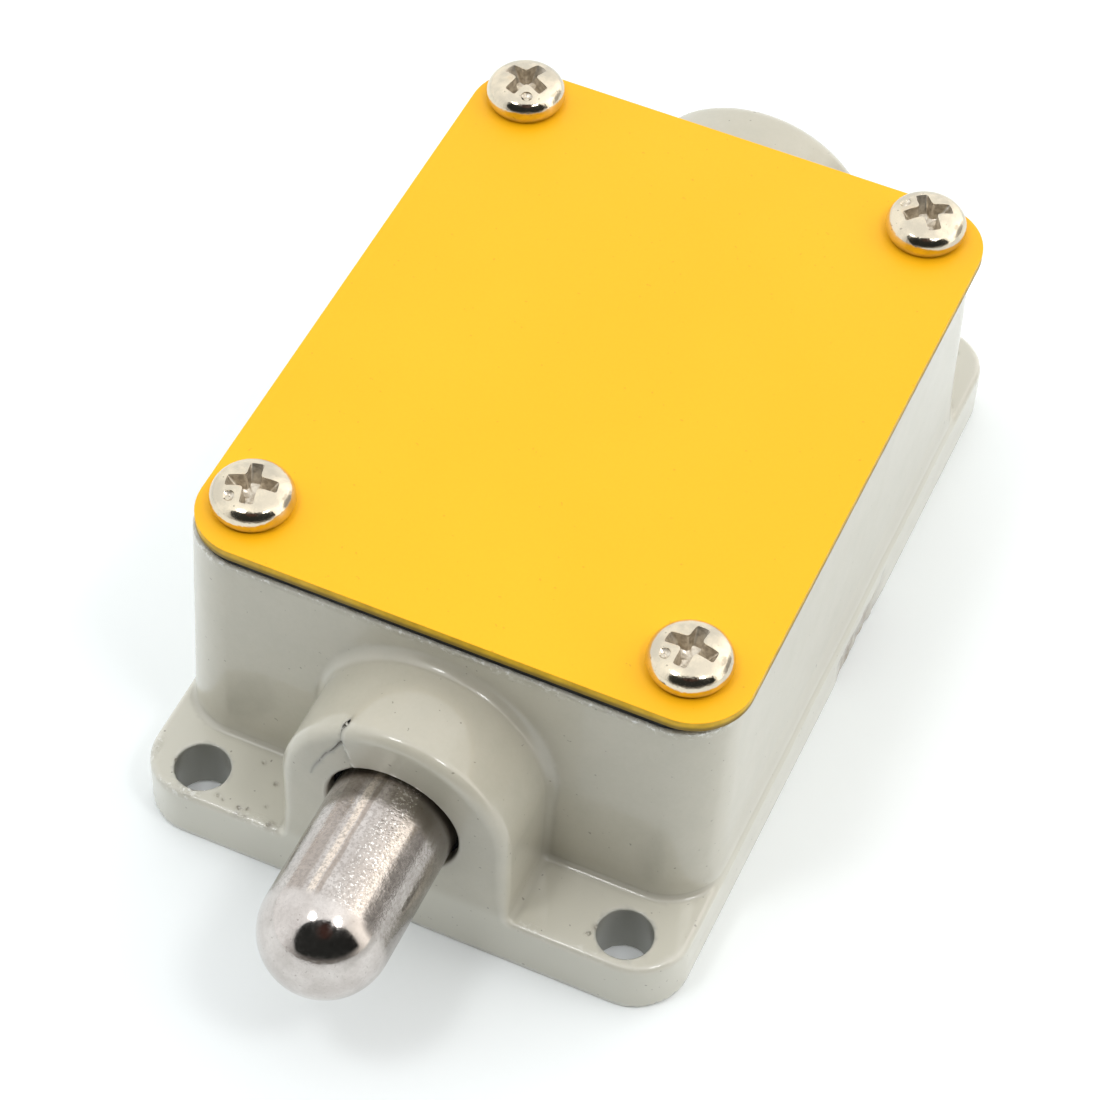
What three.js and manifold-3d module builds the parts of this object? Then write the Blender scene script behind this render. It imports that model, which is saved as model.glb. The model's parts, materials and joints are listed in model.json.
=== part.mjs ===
// A plunger limit switch in a die-cast case: a flanged housing with a screwed cover plate, a sprung
// plunger in a bronze bush, and a double-break contact block with one normally closed and one
// normally open bridge. Millimetres, +Z up, +X to the right, the plunger points along -Y.
// The origin is the centre of the underside of the flange.
import * as THREE from "three";
import { mergeVertices } from "three/addons/utils/BufferGeometryUtils.js";
import Module from "manifold-3d";

const wasm = await Module();
wasm.setup();

// ---------------------------------------------------------------- driving dimensions
const AXIS_Z = 15.9; // height of the plunger's centre line
const GAP = 0.05; // clearance between faces that touch
const REACH = 44.2; // half length of the flange, and how far both bosses reach

const FLANGE = { halfWidth: 27.7, halfLength: REACH, height: 6.2, corner: 5.5 };
const CASE = { halfWidth: 27.5, halfLength: 35.7, top: 30, corner: 6 };
const CASE_TOP = { halfWidth: 27.1, halfLength: 34.3 };
const CAVITY = { halfWidth: 24.2, halfLength: 31.3, floor: 3.5, corner: 3 };
const MOUNT_HOLE = { x: 21.8, y: 40.4, radius: 2.65 };

const POST = { x: 21.5, yFront: -28.4, yRear: 30.8, radius: 4.3, holeRadius: 2.05, holeFloor: 14 };
const COVER = { halfWidth: 27.15, halfLength: 34.8, thickness: 1.2, corner: 5.7, x: 0.6, y: 0.25 };
const GASKET_THICKNESS = 1;
const GASKET_Z = CASE.top + GAP;
const COVER_Z = GASKET_Z + GASKET_THICKNESS + GAP;
const COVER_SCREW_Z = COVER_Z + COVER.thickness + GAP;

const FRONT_BOSS = { radius: 11.5, mouthRadius: 6.55, mouthDepth: 1.8 };
const GUIDE = { radius: 10.5, end: -27.6, pocketRadius: 8 };
const REAR_BOSS = { radius: 12.8, z: 15.6, boreRadius: 8.65 };

const PLUNGER = { radius: 6.1, tip: -63.4, shoulder: -25.6, spigotRadius: 3.2, end: -9.5 };
const GROOVE = { radius: 5.2, from: -27.4, to: -26.25 };
const RUNNING_RADIUS = PLUNGER.radius + 0.06;
const SEAL_LENGTH = 3.6;
const RING_RADIUS = 7.6;
const RETURN_COIL = { radius: 5.2, wire: 0.5, turns: 4, from: -25.4, to: -13.1 };

const BLOCK = { halfWidth: 19.5, front: -12, rear: 18.8, bottom: CAVITY.floor + GAP, top: 24.2 };
const CHANNEL_HALF_WIDTH = 4.3;
const CHANNEL_FLOOR = 10;
const CHAMBER = { halfWidth: 13.1, floor: 12.4 };
const CARRIER = { halfWidth: 3.9, halfHeight: 5.5, front: -9.2, rear: 15 };
const WINDOW_HALF_HEIGHT = 3.3;
const BRIDGE = { halfLength: 12.6, halfHeight: 2.5, thickness: 1 };
const TIP = { x: 10.5, radius: 1.8, thickness: 0.75 };
const STRIP = { inner: 8.6, legOuter: 12.6, outer: 19.3, bottom: 13.4, thickness: 1, padLength: 8 };
const CONTACT_COIL = { radius: 1.8, wire: 0.35, turns: 4 };
const TERMINAL_X = 16;

// Where each contact pair's pieces start along Y: its chamber in the block, its window in the
// carrier, its coil, its bridge, its tips, its strip's leg and its strip's pad.
const NC = {
  chamber: [-7.6, 1.9],
  window: [-5.8, 2.4],
  coil: [-3.5, 2.3],
  bridge: -4.6,
  movingTip: -5.4,
  fixedTip: -6.3,
  leg: -7.35,
  pad: -7.35,
};
const NO = {
  chamber: [9.9, 17.5],
  window: [4.6, 11.8],
  coil: [4.7, 10.5],
  bridge: 10.6,
  movingTip: 11.65,
  fixedTip: 15.45,
  leg: 16.25,
  pad: 9.25,
};

const SCREW_M4 = { headRadius: 4, headHeight: 2.95, shank: 2, length: 13, arm: 2.5, depth: 2 };
const SCREW_M35 = { headRadius: 3.2, headHeight: 2.3, shank: 1.7, length: 9, arm: 2, depth: 1.4 };
const SCREW_M25 = { headRadius: 1.9, headHeight: 1.4, shank: 1, length: 8, arm: 1.3, depth: 0.9 };
const BLOCK_SCREW = { x: 16, y: 4.95, length: 23.3 };
const SHIELD = { halfWidth: 8, from: -11.8, to: 18.6, thickness: 1.2, screwX: 6.1, screwY: 5.9 };
const EARTH = { x: -20, y: 22.8, top: 8, radius: 3.8 };

const FINE = 32; // facets round a large turned part
const COARSE = 16; // facets round a screw or a small hole
const SMALL = 12; // facets round the smallest parts

// ---------------------------------------------------------------- geometry helpers
function toSolid(geometry) {
  const bare = geometry.clone();
  bare.deleteAttribute("normal");
  bare.deleteAttribute("uv");
  const merged = mergeVertices(bare, 1e-4);
  const mesh = { numProp: 3 };
  mesh.vertProperties = new Float32Array(merged.attributes.position.array);
  mesh.triVerts = new Uint32Array(merged.index.array);
  return new wasm.Manifold(new wasm.Mesh(mesh));
}

function toGeometry(solid) {
  const mesh = solid.getMesh();
  const geometry = new THREE.BufferGeometry();
  geometry.setAttribute("position", new THREE.BufferAttribute(mesh.vertProperties, 3));
  geometry.setIndex(new THREE.BufferAttribute(mesh.triVerts, 1));
  geometry.computeVertexNormals();
  return geometry;
}

function build(first, { add = [], cut = [] }) {
  let solid = toSolid(first);
  for (const piece of add) solid = solid.add(toSolid(piece));
  for (const piece of cut) solid = solid.subtract(toSolid(piece));
  return toGeometry(solid);
}

function box(x, y, z) {
  const made = new THREE.BoxGeometry(x[1] - x[0], y[1] - y[0], z[1] - z[0]);
  return made.translate((x[0] + x[1]) / 2, (y[0] + y[1]) / 2, (z[0] + z[1]) / 2);
}

function symmetricBox(halfWidth, y, z) {
  return box([-halfWidth, halfWidth], y, z);
}

function roundedRectangle(halfX, halfY, radius) {
  const shape = new THREE.Shape();
  const corners = [
    [halfX - radius, halfY - radius, 0],
    [radius - halfX, halfY - radius, 1],
    [radius - halfX, radius - halfY, 2],
    [halfX - radius, radius - halfY, 3],
  ];
  for (const [x, y, quarter] of corners) {
    shape.absarc(x, y, radius, (quarter * Math.PI) / 2, ((quarter + 1) * Math.PI) / 2);
  }
  return shape;
}

function prism(shape, bottom, top, curveSegments = 3) {
  const options = { depth: top - bottom, bevelEnabled: false, curveSegments };
  return new THREE.ExtrudeGeometry(shape, options).translate(0, 0, bottom);
}

// Draws in every point above the bottom so that the top has the given half sizes.
function draft(geometry, bottom, top, foot, head) {
  const position = geometry.attributes.position;
  for (let i = 0; i < position.count; i++) {
    const share = (position.getZ(i) - bottom) / (top - bottom);
    const x = THREE.MathUtils.lerp(1, head.halfWidth / foot.halfWidth, share);
    const y = THREE.MathUtils.lerp(1, head.halfLength / foot.halfLength, share);
    position.setXY(i, position.getX(i) * x, position.getY(i) * y);
  }
  return geometry;
}

function cylinderZ(radius, bottom, top, x = 0, y = 0, sides = COARSE) {
  const made = new THREE.CylinderGeometry(radius, radius, top - bottom, sides);
  return made.rotateX(Math.PI / 2).translate(x, y, (bottom + top) / 2);
}

function cylinderY(radius, from, to, z = AXIS_Z, sides = FINE) {
  const made = new THREE.CylinderGeometry(radius, radius, to - from, sides);
  return made.translate(0, (from + to) / 2, z);
}

// A half-round boss with straight sides that run down into the flange.
function bossPrism(radius, z, from, to) {
  const shape = new THREE.Shape();
  shape.moveTo(-radius, 1);
  shape.lineTo(radius, 1);
  shape.absarc(0, z, radius, 0, Math.PI);
  const options = { depth: to - from, bevelEnabled: false, curveSegments: 10 };
  return new THREE.ExtrudeGeometry(shape, options).rotateX(Math.PI / 2).translate(0, to, 0);
}

// Turns a closed outline of [radius, y] points round the plunger's centre line.
function turned(outline, sides = FINE) {
  const points = outline.map(([radius, y]) => new THREE.Vector2(radius, y));
  return new THREE.LatheGeometry(points, sides).translate(0, 0, AXIS_Z);
}

function ringY(inner, outer, from, to, sides = FINE) {
  return turned([[inner, from], [outer, from], [outer, to], [inner, to], [inner, from]], sides);
}

class Helix extends THREE.Curve {
  constructor(radius, from, to, turns) {
    super();
    Object.assign(this, { radius, from, to, turns });
  }

  getPoint(t, target = new THREE.Vector3()) {
    const angle = 2 * Math.PI * this.turns * t;
    const y = THREE.MathUtils.lerp(this.from, this.to, t);
    return target.set(this.radius * Math.cos(angle), y, AXIS_Z + this.radius * Math.sin(angle));
  }
}

function coil({ radius, wire, turns }, from, to, stepsPerTurn) {
  const section = new THREE.Shape().absarc(0, 0, wire, 0, 2 * Math.PI);
  const extrudePath = new Helix(radius, from + wire, to - wire, turns);
  const options = { steps: turns * stepsPerTurn, extrudePath, bevelEnabled: false, curveSegments: 4 };
  return new THREE.ExtrudeGeometry(section, options);
}

// A pan-head screw with a crossed recess. Its head rests on z = 0 and the shank hangs below.
function screw({ headRadius, headHeight, shank, length, arm, depth }) {
  const arc = 4;
  const outline = [[0, -length], [shank, -length], [shank, 0], [headRadius, 0]];
  const wall = headHeight * 0.3;
  for (let i = 0; i <= arc; i++) {
    const angle = (i / arc) * (Math.PI / 2);
    const radius = headRadius * (0.4 + 0.6 * Math.cos(angle));
    outline.push([radius, wall + (headHeight - wall) * Math.sin(angle)]);
  }
  outline.push([0, headHeight]);
  const points = outline.map(([radius, z]) => new THREE.Vector2(radius, z));
  const body = new THREE.LatheGeometry(points, COARSE).rotateX(Math.PI / 2);
  const wing = arm * 0.27;
  const slots = [
    box([-arm, arm], [-wing, wing], [headHeight - depth, headHeight + 1]),
    box([-wing, wing], [-arm, arm], [headHeight - depth, headHeight + 1]),
  ];
  return build(body, { cut: slots });
}

// ---------------------------------------------------------------- materials
const FINISHES = {
  casting: { color: 0xb9b5a8, roughness: 0.35, metalness: 0.1 },
  cover: { color: 0xffc81e, roughness: 0.4, metalness: 0 },
  rubber: { color: 0x151515, roughness: 0.8, metalness: 0 },
  nickel: { color: 0xd8d3c8, roughness: 0.2, metalness: 1 },
  steel: { color: 0xb6b2ab, roughness: 0.3, metalness: 1 },
  bronze: { color: 0xa9793b, roughness: 0.35, metalness: 1 },
  brass: { color: 0xc9a44b, roughness: 0.3, metalness: 1 },
  silver: { color: 0xe2e2df, roughness: 0.25, metalness: 1 },
  phenolic: { color: 0x2a1c16, roughness: 0.45, metalness: 0 },
  carrier: { color: 0xc9bfa4, roughness: 0.5, metalness: 0 },
  shield: { color: 0x8a5a2b, roughness: 0.4, metalness: 0 },
};

const limitSwitch = new THREE.Group();

function place(name, geometry, finish, x = 0, y = 0, z = 0) {
  const mesh = new THREE.Mesh(geometry, new THREE.MeshStandardMaterial(FINISHES[finish]));
  mesh.name = name;
  mesh.position.set(x, y, z);
  limitSwitch.add(mesh);
  return mesh;
}

// ---------------------------------------------------------------- case
const CORNERS = [
  { name: "front_left", x: -POST.x, y: POST.yFront, turn: -166 },
  { name: "front_right", x: POST.x, y: POST.yFront, turn: 175.5 },
  { name: "rear_left", x: -POST.x, y: POST.yRear, turn: -109.5 },
  { name: "rear_right", x: POST.x, y: POST.yRear, turn: 127 },
];

function makeHousing() {
  const flangeShape = roundedRectangle(FLANGE.halfWidth, FLANGE.halfLength, FLANGE.corner);
  const flange = prism(flangeShape, 0, FLANGE.height);
  const caseShape = roundedRectangle(CASE.halfWidth, CASE.halfLength, CASE.corner);
  const bottom = FLANGE.height - 1;
  const walls = draft(prism(caseShape, bottom, CASE.top), bottom, CASE.top, CASE, CASE_TOP);
  const cavityShape = roundedRectangle(CAVITY.halfWidth, CAVITY.halfLength, CAVITY.corner);
  const cavity = prism(cavityShape, CAVITY.floor, CASE.top + 1);

  const shell = build(flange, {
    add: [
      walls,
      bossPrism(FRONT_BOSS.radius, AXIS_Z, -REACH, -CAVITY.halfLength),
      bossPrism(REAR_BOSS.radius, REAR_BOSS.z, CAVITY.halfLength, REACH),
    ],
    cut: [cavity],
  });

  const posts = CORNERS.map(({ x, y }) => cylinderZ(POST.radius, 1, CASE.top, x, y));
  const guide = bossPrism(GUIDE.radius, AXIS_Z, -CAVITY.halfLength - 1, GUIDE.end);
  const earthPost = cylinderZ(EARTH.radius, 1, EARTH.top, EARTH.x, EARTH.y);

  const holes = [
    cylinderY(FRONT_BOSS.mouthRadius, -REACH - 1, GUIDE.end + 1),
    cylinderY(GUIDE.pocketRadius, -REACH + FRONT_BOSS.mouthDepth, GUIDE.end + 1),
    cylinderY(REAR_BOSS.boreRadius, CAVITY.halfLength - 2, REACH + 1, REAR_BOSS.z),
    cylinderZ(SCREW_M4.shank + GAP, 1.5, EARTH.top + 1, EARTH.x, EARTH.y),
  ];
  for (const { x, y } of CORNERS) {
    holes.push(cylinderZ(POST.holeRadius, POST.holeFloor, CASE.top + 1, x, y));
  }
  for (const side of [-1, 1]) {
    const fixingX = side * BLOCK_SCREW.x;
    holes.push(cylinderZ(SCREW_M35.shank + GAP, 0.6, CAVITY.floor + 1, fixingX, BLOCK_SCREW.y));
    for (const end of [-1, 1]) {
      const x = side * MOUNT_HOLE.x;
      const y = end * MOUNT_HOLE.y;
      holes.push(cylinderZ(MOUNT_HOLE.radius, -1, FLANGE.height + 1, x, y, 24));
    }
  }
  return build(shell, { add: [...posts, guide, earthPost], cut: holes });
}

function makeGasket() {
  const top = GASKET_Z + GASKET_THICKNESS;
  const outline = roundedRectangle(CASE_TOP.halfWidth, CASE_TOP.halfLength, CASE.corner);
  const inside = roundedRectangle(CAVITY.halfWidth, CAVITY.halfLength, CAVITY.corner);
  const ring = build(prism(outline, GASKET_Z, top), { cut: [prism(inside, GASKET_Z - 1, top + 1)] });
  return build(ring, {
    add: CORNERS.map(({ x, y }) => cylinderZ(POST.radius, GASKET_Z, top, x, y)),
    cut: CORNERS.map(({ x, y }) => cylinderZ(SCREW_M4.shank + 0.3, GASKET_Z - 1, top + 1, x, y)),
  });
}

function makeCover() {
  const top = COVER_Z + COVER.thickness;
  const outline = roundedRectangle(COVER.halfWidth, COVER.halfLength, COVER.corner);
  const plate = prism(outline, COVER_Z, top).translate(COVER.x, COVER.y, 0);
  const holes = CORNERS.map(({ x, y }) => cylinderZ(SCREW_M4.shank + 0.4, COVER_Z - 1, top + 1, x, y));
  return build(plate, { cut: holes });
}

place("housing", makeHousing(), "casting");
place("cover_gasket", makeGasket(), "rubber");
place("cover_plate", makeCover(), "cover");
for (const { name, x, y, turn } of CORNERS) {
  const mesh = place("cover_screw_" + name, screw(SCREW_M4), "nickel", x, y, COVER_SCREW_Z);
  mesh.rotation.z = THREE.MathUtils.degToRad(turn);
}

const WASHER_THICKNESS = 0.8;
const EARTH_SCREW = { ...SCREW_M35, headRadius: 3.5, shank: SCREW_M4.shank, length: 6.5 };
const washerHole = cylinderZ(SCREW_M4.shank + 0.2, -1, 2);
const earthWasher = build(cylinderZ(EARTH.radius, 0, WASHER_THICKNESS), { cut: [washerHole] });
const earthScrewZ = EARTH.top + WASHER_THICKNESS + 2 * GAP;
place("earth_washer", earthWasher, "brass", EARTH.x, EARTH.y, EARTH.top + GAP);
place("earth_screw", screw(EARTH_SCREW), "brass", EARTH.x, EARTH.y, earthScrewZ);

// ---------------------------------------------------------------- plunger and its guide
function makePlunger() {
  const { radius, tip, shoulder, spigotRadius, end } = PLUNGER;
  const outline = [];
  const arc = 8;
  for (let i = 0; i <= arc; i++) {
    const angle = (i / arc) * (Math.PI / 2);
    outline.push([radius * Math.sin(angle), tip + radius * (1 - Math.cos(angle))]);
  }
  outline.push([radius, GROOVE.from], [GROOVE.radius, GROOVE.from], [GROOVE.radius, GROOVE.to]);
  outline.push([radius, GROOVE.to], [radius, shoulder], [spigotRadius, shoulder]);
  outline.push([spigotRadius, end], [0, end]);
  return turned(outline);
}

function makeRetainingRing() {
  const from = GROOVE.from + GAP;
  const to = GROOVE.to - GAP;
  const mouth = symmetricBox(2, [from - 1, to + 1], [AXIS_Z - 9, AXIS_Z - 3]);
  return build(ringY(GROOVE.radius + 0.1, RING_RADIUS, from, to), { cut: [mouth] });
}

function makeSeal() {
  const outer = GUIDE.pocketRadius - GAP;
  const from = -REACH + FRONT_BOSS.mouthDepth + GAP;
  const to = from + SEAL_LENGTH;
  const waist = RUNNING_RADIUS + 0.6;
  const outline = [[RUNNING_RADIUS, from], [outer, from], [outer, to], [waist, to]];
  outline.push([waist, from + 1.2], [RUNNING_RADIUS, from + 0.6], [RUNNING_RADIUS, from]);
  return turned(outline);
}

const bushFrom = -REACH + FRONT_BOSS.mouthDepth + SEAL_LENGTH + 3 * GAP;
place("plunger", makePlunger(), "steel");
place("retaining_ring", makeRetainingRing(), "steel");
place("plunger_seal", makeSeal(), "rubber");
place("guide_bush", ringY(RUNNING_RADIUS, GUIDE.pocketRadius - GAP, bushFrom, GUIDE.end), "bronze");
place("return_spring", coil(RETURN_COIL, RETURN_COIL.from, RETURN_COIL.to, 14), "steel");
const seatFrom = RETURN_COIL.to + GAP;
const seat = ringY(PLUNGER.spigotRadius + 0.5, RING_RADIUS, seatFrom, BLOCK.front - GAP);
place("spring_seat", seat, "steel");

// ---------------------------------------------------------------- contact block
function makeBlock() {
  const { halfWidth, front, rear, bottom, top } = BLOCK;
  const body = symmetricBox(halfWidth, [front, rear], [bottom, top]);
  const cuts = [symmetricBox(CHANNEL_HALF_WIDTH, [front - 1, rear + 1], [CHANNEL_FLOOR, top + 1])];
  for (const { chamber } of [NC, NO]) {
    cuts.push(symmetricBox(CHAMBER.halfWidth, chamber, [CHAMBER.floor, top + 1]));
  }
  const hole = SCREW_M35.shank + GAP;
  for (const side of [-1, 1]) {
    for (const { pad } of [NC, NO]) {
      const y = pad + STRIP.padLength / 2;
      cuts.push(cylinderZ(hole, top - SCREW_M35.length, top + 1, side * TERMINAL_X, y));
    }
    cuts.push(cylinderZ(hole + 0.2, bottom - 1, top + 1, side * BLOCK_SCREW.x, BLOCK_SCREW.y));
    const x = side * SHIELD.screwX;
    const depth = top - SCREW_M25.length;
    cuts.push(cylinderZ(SCREW_M25.shank + GAP, depth, top + 1, x, SHIELD.screwY, SMALL));
  }
  return build(body, { cut: cuts });
}

function makeShield() {
  const bottom = BLOCK.top + GAP;
  const top = bottom + SHIELD.thickness;
  const plate = symmetricBox(SHIELD.halfWidth, [SHIELD.from, SHIELD.to], [bottom, top]);
  const holes = [-1, 1].map((side) => {
    const x = side * SHIELD.screwX;
    return cylinderZ(SCREW_M25.shank + 0.1, bottom - 1, top + 1, x, SHIELD.screwY, SMALL);
  });
  return build(plate, { cut: holes });
}

function makeCarrier() {
  const { halfWidth, halfHeight, front, rear } = CARRIER;
  const bar = symmetricBox(halfWidth, [front, rear], [AXIS_Z - halfHeight, AXIS_Z + halfHeight]);
  const heights = [AXIS_Z - WINDOW_HALF_HEIGHT, AXIS_Z + WINDOW_HALF_HEIGHT];
  return build(bar, { cut: [NC, NO].map(({ window }) => symmetricBox(halfWidth + 1, window, heights)) });
}

// An L-shaped strip: a leg down into the chamber and a pad on top of the block.
function makeTerminal({ leg, pad }, side) {
  const span = (near, far) => (side > 0 ? [near, far] : [-far, -near]);
  const padBottom = BLOCK.top + GAP;
  const padTop = padBottom + STRIP.thickness;
  const padY = [pad, pad + STRIP.padLength];
  const padBox = box(span(STRIP.inner, STRIP.outer), padY, [padBottom, padTop]);
  const legY = [leg, leg + STRIP.thickness];
  const legBox = box(span(STRIP.inner, STRIP.legOuter), legY, [STRIP.bottom, padTop]);
  const middle = pad + STRIP.padLength / 2;
  const holeRadius = SCREW_M35.shank + 0.2;
  const hole = cylinderZ(holeRadius, padBottom - 1, padTop + 1, side * TERMINAL_X, middle);
  return build(padBox, { add: [legBox], cut: [hole] });
}

function contactTip(name, x, y) {
  const disc = new THREE.CylinderGeometry(TIP.radius, TIP.radius, TIP.thickness, COARSE);
  place(name, disc, "silver", x, y + TIP.thickness / 2, AXIS_Z);
}

const strapEnds = { left: -1, right: 1 };
const clampHole = cylinderZ(SCREW_M35.shank + 0.2, -1, 2);
const CLAMP_THICKNESS = 1;
const clampPlate = build(symmetricBox(3.5, [-3.5, 3.5], [0, CLAMP_THICKNESS]), { cut: [clampHole] });

function makeContactPair(prefix, pair) {
  const bridgeHeights = [AXIS_Z - BRIDGE.halfHeight, AXIS_Z + BRIDGE.halfHeight];
  const bridgeY = [pair.bridge, pair.bridge + BRIDGE.thickness];
  place(prefix + "_bridge", symmetricBox(BRIDGE.halfLength, bridgeY, bridgeHeights), "brass");
  place(prefix + "_contact_spring", coil(CONTACT_COIL, pair.coil[0], pair.coil[1], 10), "steel");

  const padTop = BLOCK.top + GAP + STRIP.thickness;
  const middle = pair.pad + STRIP.padLength / 2;
  for (const [end, side] of Object.entries(strapEnds)) {
    place(prefix + "_terminal_" + end, makeTerminal(pair, side), "brass");
    const screwZ = padTop + CLAMP_THICKNESS + 2 * GAP;
    place(prefix + "_clamp_" + end, clampPlate, "steel", side * TERMINAL_X, middle, padTop + GAP);
    place(prefix + "_terminal_screw_" + end, screw(SCREW_M35), "nickel", side * TERMINAL_X, middle, screwZ);
    contactTip(prefix + "_moving_tip_" + end, side * TIP.x, pair.movingTip);
    contactTip(prefix + "_fixed_tip_" + end, side * TIP.x, pair.fixedTip);
  }
}

place("contact_block", makeBlock(), "phenolic");
place("contact_shield", makeShield(), "shield");
place("contact_carrier", makeCarrier(), "carrier");
makeContactPair("nc", NC);
makeContactPair("no", NO);

for (const [end, side] of Object.entries(strapEnds)) {
  const top = BLOCK.top + GAP;
  const fixing = screw({ ...SCREW_M35, length: BLOCK_SCREW.length });
  place("block_screw_" + end, fixing, "nickel", side * BLOCK_SCREW.x, BLOCK_SCREW.y, top);
  const shieldTop = top + SHIELD.thickness + GAP;
  const shieldX = side * SHIELD.screwX;
  place("shield_screw_" + end, screw(SCREW_M25), "nickel", shieldX, SHIELD.screwY, shieldTop);
}

export default limitSwitch;
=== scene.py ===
"""The looks of a plunger limit switch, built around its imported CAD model.

Every length below is in millimetres in the CAD model's frame (+Z up, the plunger points along -Y)
and becomes metres only when an object is made. The housing is meshed from a signed distance
function, so that its fillets, casting marks, bores and thread are one smooth surface. Turned parts
come from outlines, and plates and mouldings from bevelled solids.
"""
import json
import math
from collections import namedtuple
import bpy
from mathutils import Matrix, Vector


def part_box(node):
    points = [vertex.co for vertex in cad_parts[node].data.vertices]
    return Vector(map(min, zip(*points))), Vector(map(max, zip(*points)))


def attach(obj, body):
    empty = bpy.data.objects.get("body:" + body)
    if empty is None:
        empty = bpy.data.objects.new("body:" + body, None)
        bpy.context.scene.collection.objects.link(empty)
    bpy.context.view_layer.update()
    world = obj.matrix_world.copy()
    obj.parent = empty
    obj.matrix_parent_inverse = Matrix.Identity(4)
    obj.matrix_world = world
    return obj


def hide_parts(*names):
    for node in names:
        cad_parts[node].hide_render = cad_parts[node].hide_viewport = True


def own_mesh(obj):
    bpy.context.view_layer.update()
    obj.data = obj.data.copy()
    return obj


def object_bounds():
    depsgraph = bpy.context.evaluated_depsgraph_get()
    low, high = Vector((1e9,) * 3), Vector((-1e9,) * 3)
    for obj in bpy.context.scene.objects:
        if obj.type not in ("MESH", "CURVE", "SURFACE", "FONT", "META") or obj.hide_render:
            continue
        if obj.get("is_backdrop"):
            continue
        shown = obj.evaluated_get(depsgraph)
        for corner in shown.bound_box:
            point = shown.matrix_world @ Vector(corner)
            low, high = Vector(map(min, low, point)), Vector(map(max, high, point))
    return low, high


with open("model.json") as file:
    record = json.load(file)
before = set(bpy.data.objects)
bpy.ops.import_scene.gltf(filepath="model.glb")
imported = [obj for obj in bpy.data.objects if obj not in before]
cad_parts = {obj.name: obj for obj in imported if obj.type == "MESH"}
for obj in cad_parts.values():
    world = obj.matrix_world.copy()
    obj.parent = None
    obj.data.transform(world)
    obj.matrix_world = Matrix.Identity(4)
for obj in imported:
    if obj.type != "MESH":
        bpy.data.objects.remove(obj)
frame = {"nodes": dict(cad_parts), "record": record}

from types import SimpleNamespace as Sizes

import bmesh
import bpy
import numpy as np
import openvdb
from mathutils import Matrix, Vector

CAD_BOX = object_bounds()
MM = 0.001
TAU = 2 * math.pi
TINY = 1e-6

SLOT_OF = {row["node"]: row["material_slot"] for row in frame["record"]["subparts"]}
BODY_OF = {node: body for body, nodes in frame["record"]["behaviour"]["bodies"].items() for node in nodes}


def node_box(name):
    """The lowest and highest corners of a CAD node, in millimetres."""
    low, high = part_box(name)
    return np.array(low) / MM, np.array(high) / MM


def node_centre(name):
    low, high = node_box(name)
    return (low + high) / 2


# ---------------------------------------------------------------- sizes read from the frame
HOUSING_LOW, HOUSING_HIGH = node_box("housing")
PLUNGER_LOW, PLUNGER_HIGH = node_box("plunger")
COVER_LOW, COVER_HIGH = node_box("cover_plate")

AXIS_Z = node_centre("plunger")[2]
FRONT_Y = HOUSING_LOW[1]
REAR_Y = HOUSING_HIGH[1]
CASE_TOP_Z = HOUSING_HIGH[2]
COVER_SCREWS = [f"cover_screw_{end}_{side}" for end in ("front", "rear") for side in ("left", "right")]
COVER_SCREW_SPOTS = [node_centre(name) for name in COVER_SCREWS]
EARTH_SPOT = node_centre("earth_screw")
FIXING_SPOT = node_centre("block_screw_right")

# ---------------------------------------------------------------- sizes that the CAD model shares
FLANGE = Sizes(half_x=HOUSING_HIGH[0], half_y=REAR_Y, height=6.2, corner=5.5)
CASE = Sizes(half_x=27.5, half_y=35.7, corner=6.0, top_half_x=27.1, top_half_y=34.3)
CAVITY = Sizes(half_x=24.2, half_y=31.3, floor=3.5, corner=3.0)
MOUNT_HOLE = Sizes(x=21.8, y=40.4, radius=2.65)
POST = Sizes(radius=4.3, hole_radius=2.05, hole_floor=14.0)
FRONT_BOSS = Sizes(radius=11.5, mouth_radius=6.55, mouth_depth=1.8)
GUIDE = Sizes(radius=10.5, end=-27.6, pocket_radius=8.0)
REAR_BOSS = Sizes(radius=12.8, z=15.6, bore_radius=8.65)
EARTH_POST = Sizes(radius=3.8, top=8.0, hole_radius=2.05, hole_floor=1.5)
FIXING_HOLE = Sizes(radius=1.75, floor=0.6)
# The radii of the casting's fillets and rounded edges.
FILLET = Sizes(
    cavity_floor=1.0, post=0.8, guide_end=0.5, earth_post=0.6, earth_post_top=0.3, case_foot=0.55,
    boss_end=1.0, cavity_rim=0.25, base=0.4, top=0.3, blind_hole=0.15, fixing_hole=0.1, mouth=0.40,
    cable_entry=0.2, bore_end=0.1, mount_hole=0.16,
)


# ---------------------------------------------------------------- mesh helpers
def finish_piece(piece, node):
    """Rides a piece on its CAD node's body and hides that node."""
    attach(piece, BODY_OF[node])
    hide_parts(node)


def new_object(name, data):
    made = bpy.data.objects.new(name, data)
    bpy.context.scene.collection.objects.link(made)
    return made


def mesh_object(name, vertices, faces, material, smooth=True):
    mesh = bpy.data.meshes.new(name)
    mesh.from_pydata((np.asarray(vertices, float) * MM).tolist(), [], [list(map(int, f)) for f in faces])
    mesh.materials.append(material)
    mesh.polygons.foreach_set("use_smooth", [smooth] * len(mesh.polygons))
    mesh.update()
    return new_object(name, mesh)


def apply_modifiers(piece):
    bpy.context.view_layer.update()
    graph = bpy.context.evaluated_depsgraph_get()
    mesh = bpy.data.meshes.new_from_object(piece.evaluated_get(graph), depsgraph=graph)
    piece.modifiers.clear()
    old = piece.data
    piece.data = mesh
    bpy.data.meshes.remove(old)
    return piece


def subtract(piece, cutters):
    for cutter in cutters:
        modifier = piece.modifiers.new("cut", "BOOLEAN")
        modifier.operation = "DIFFERENCE"
        modifier.solver = "EXACT"
        modifier.object = cutter
    apply_modifiers(piece)
    for cutter in cutters:
        bpy.data.meshes.remove(cutter.data)


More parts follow.
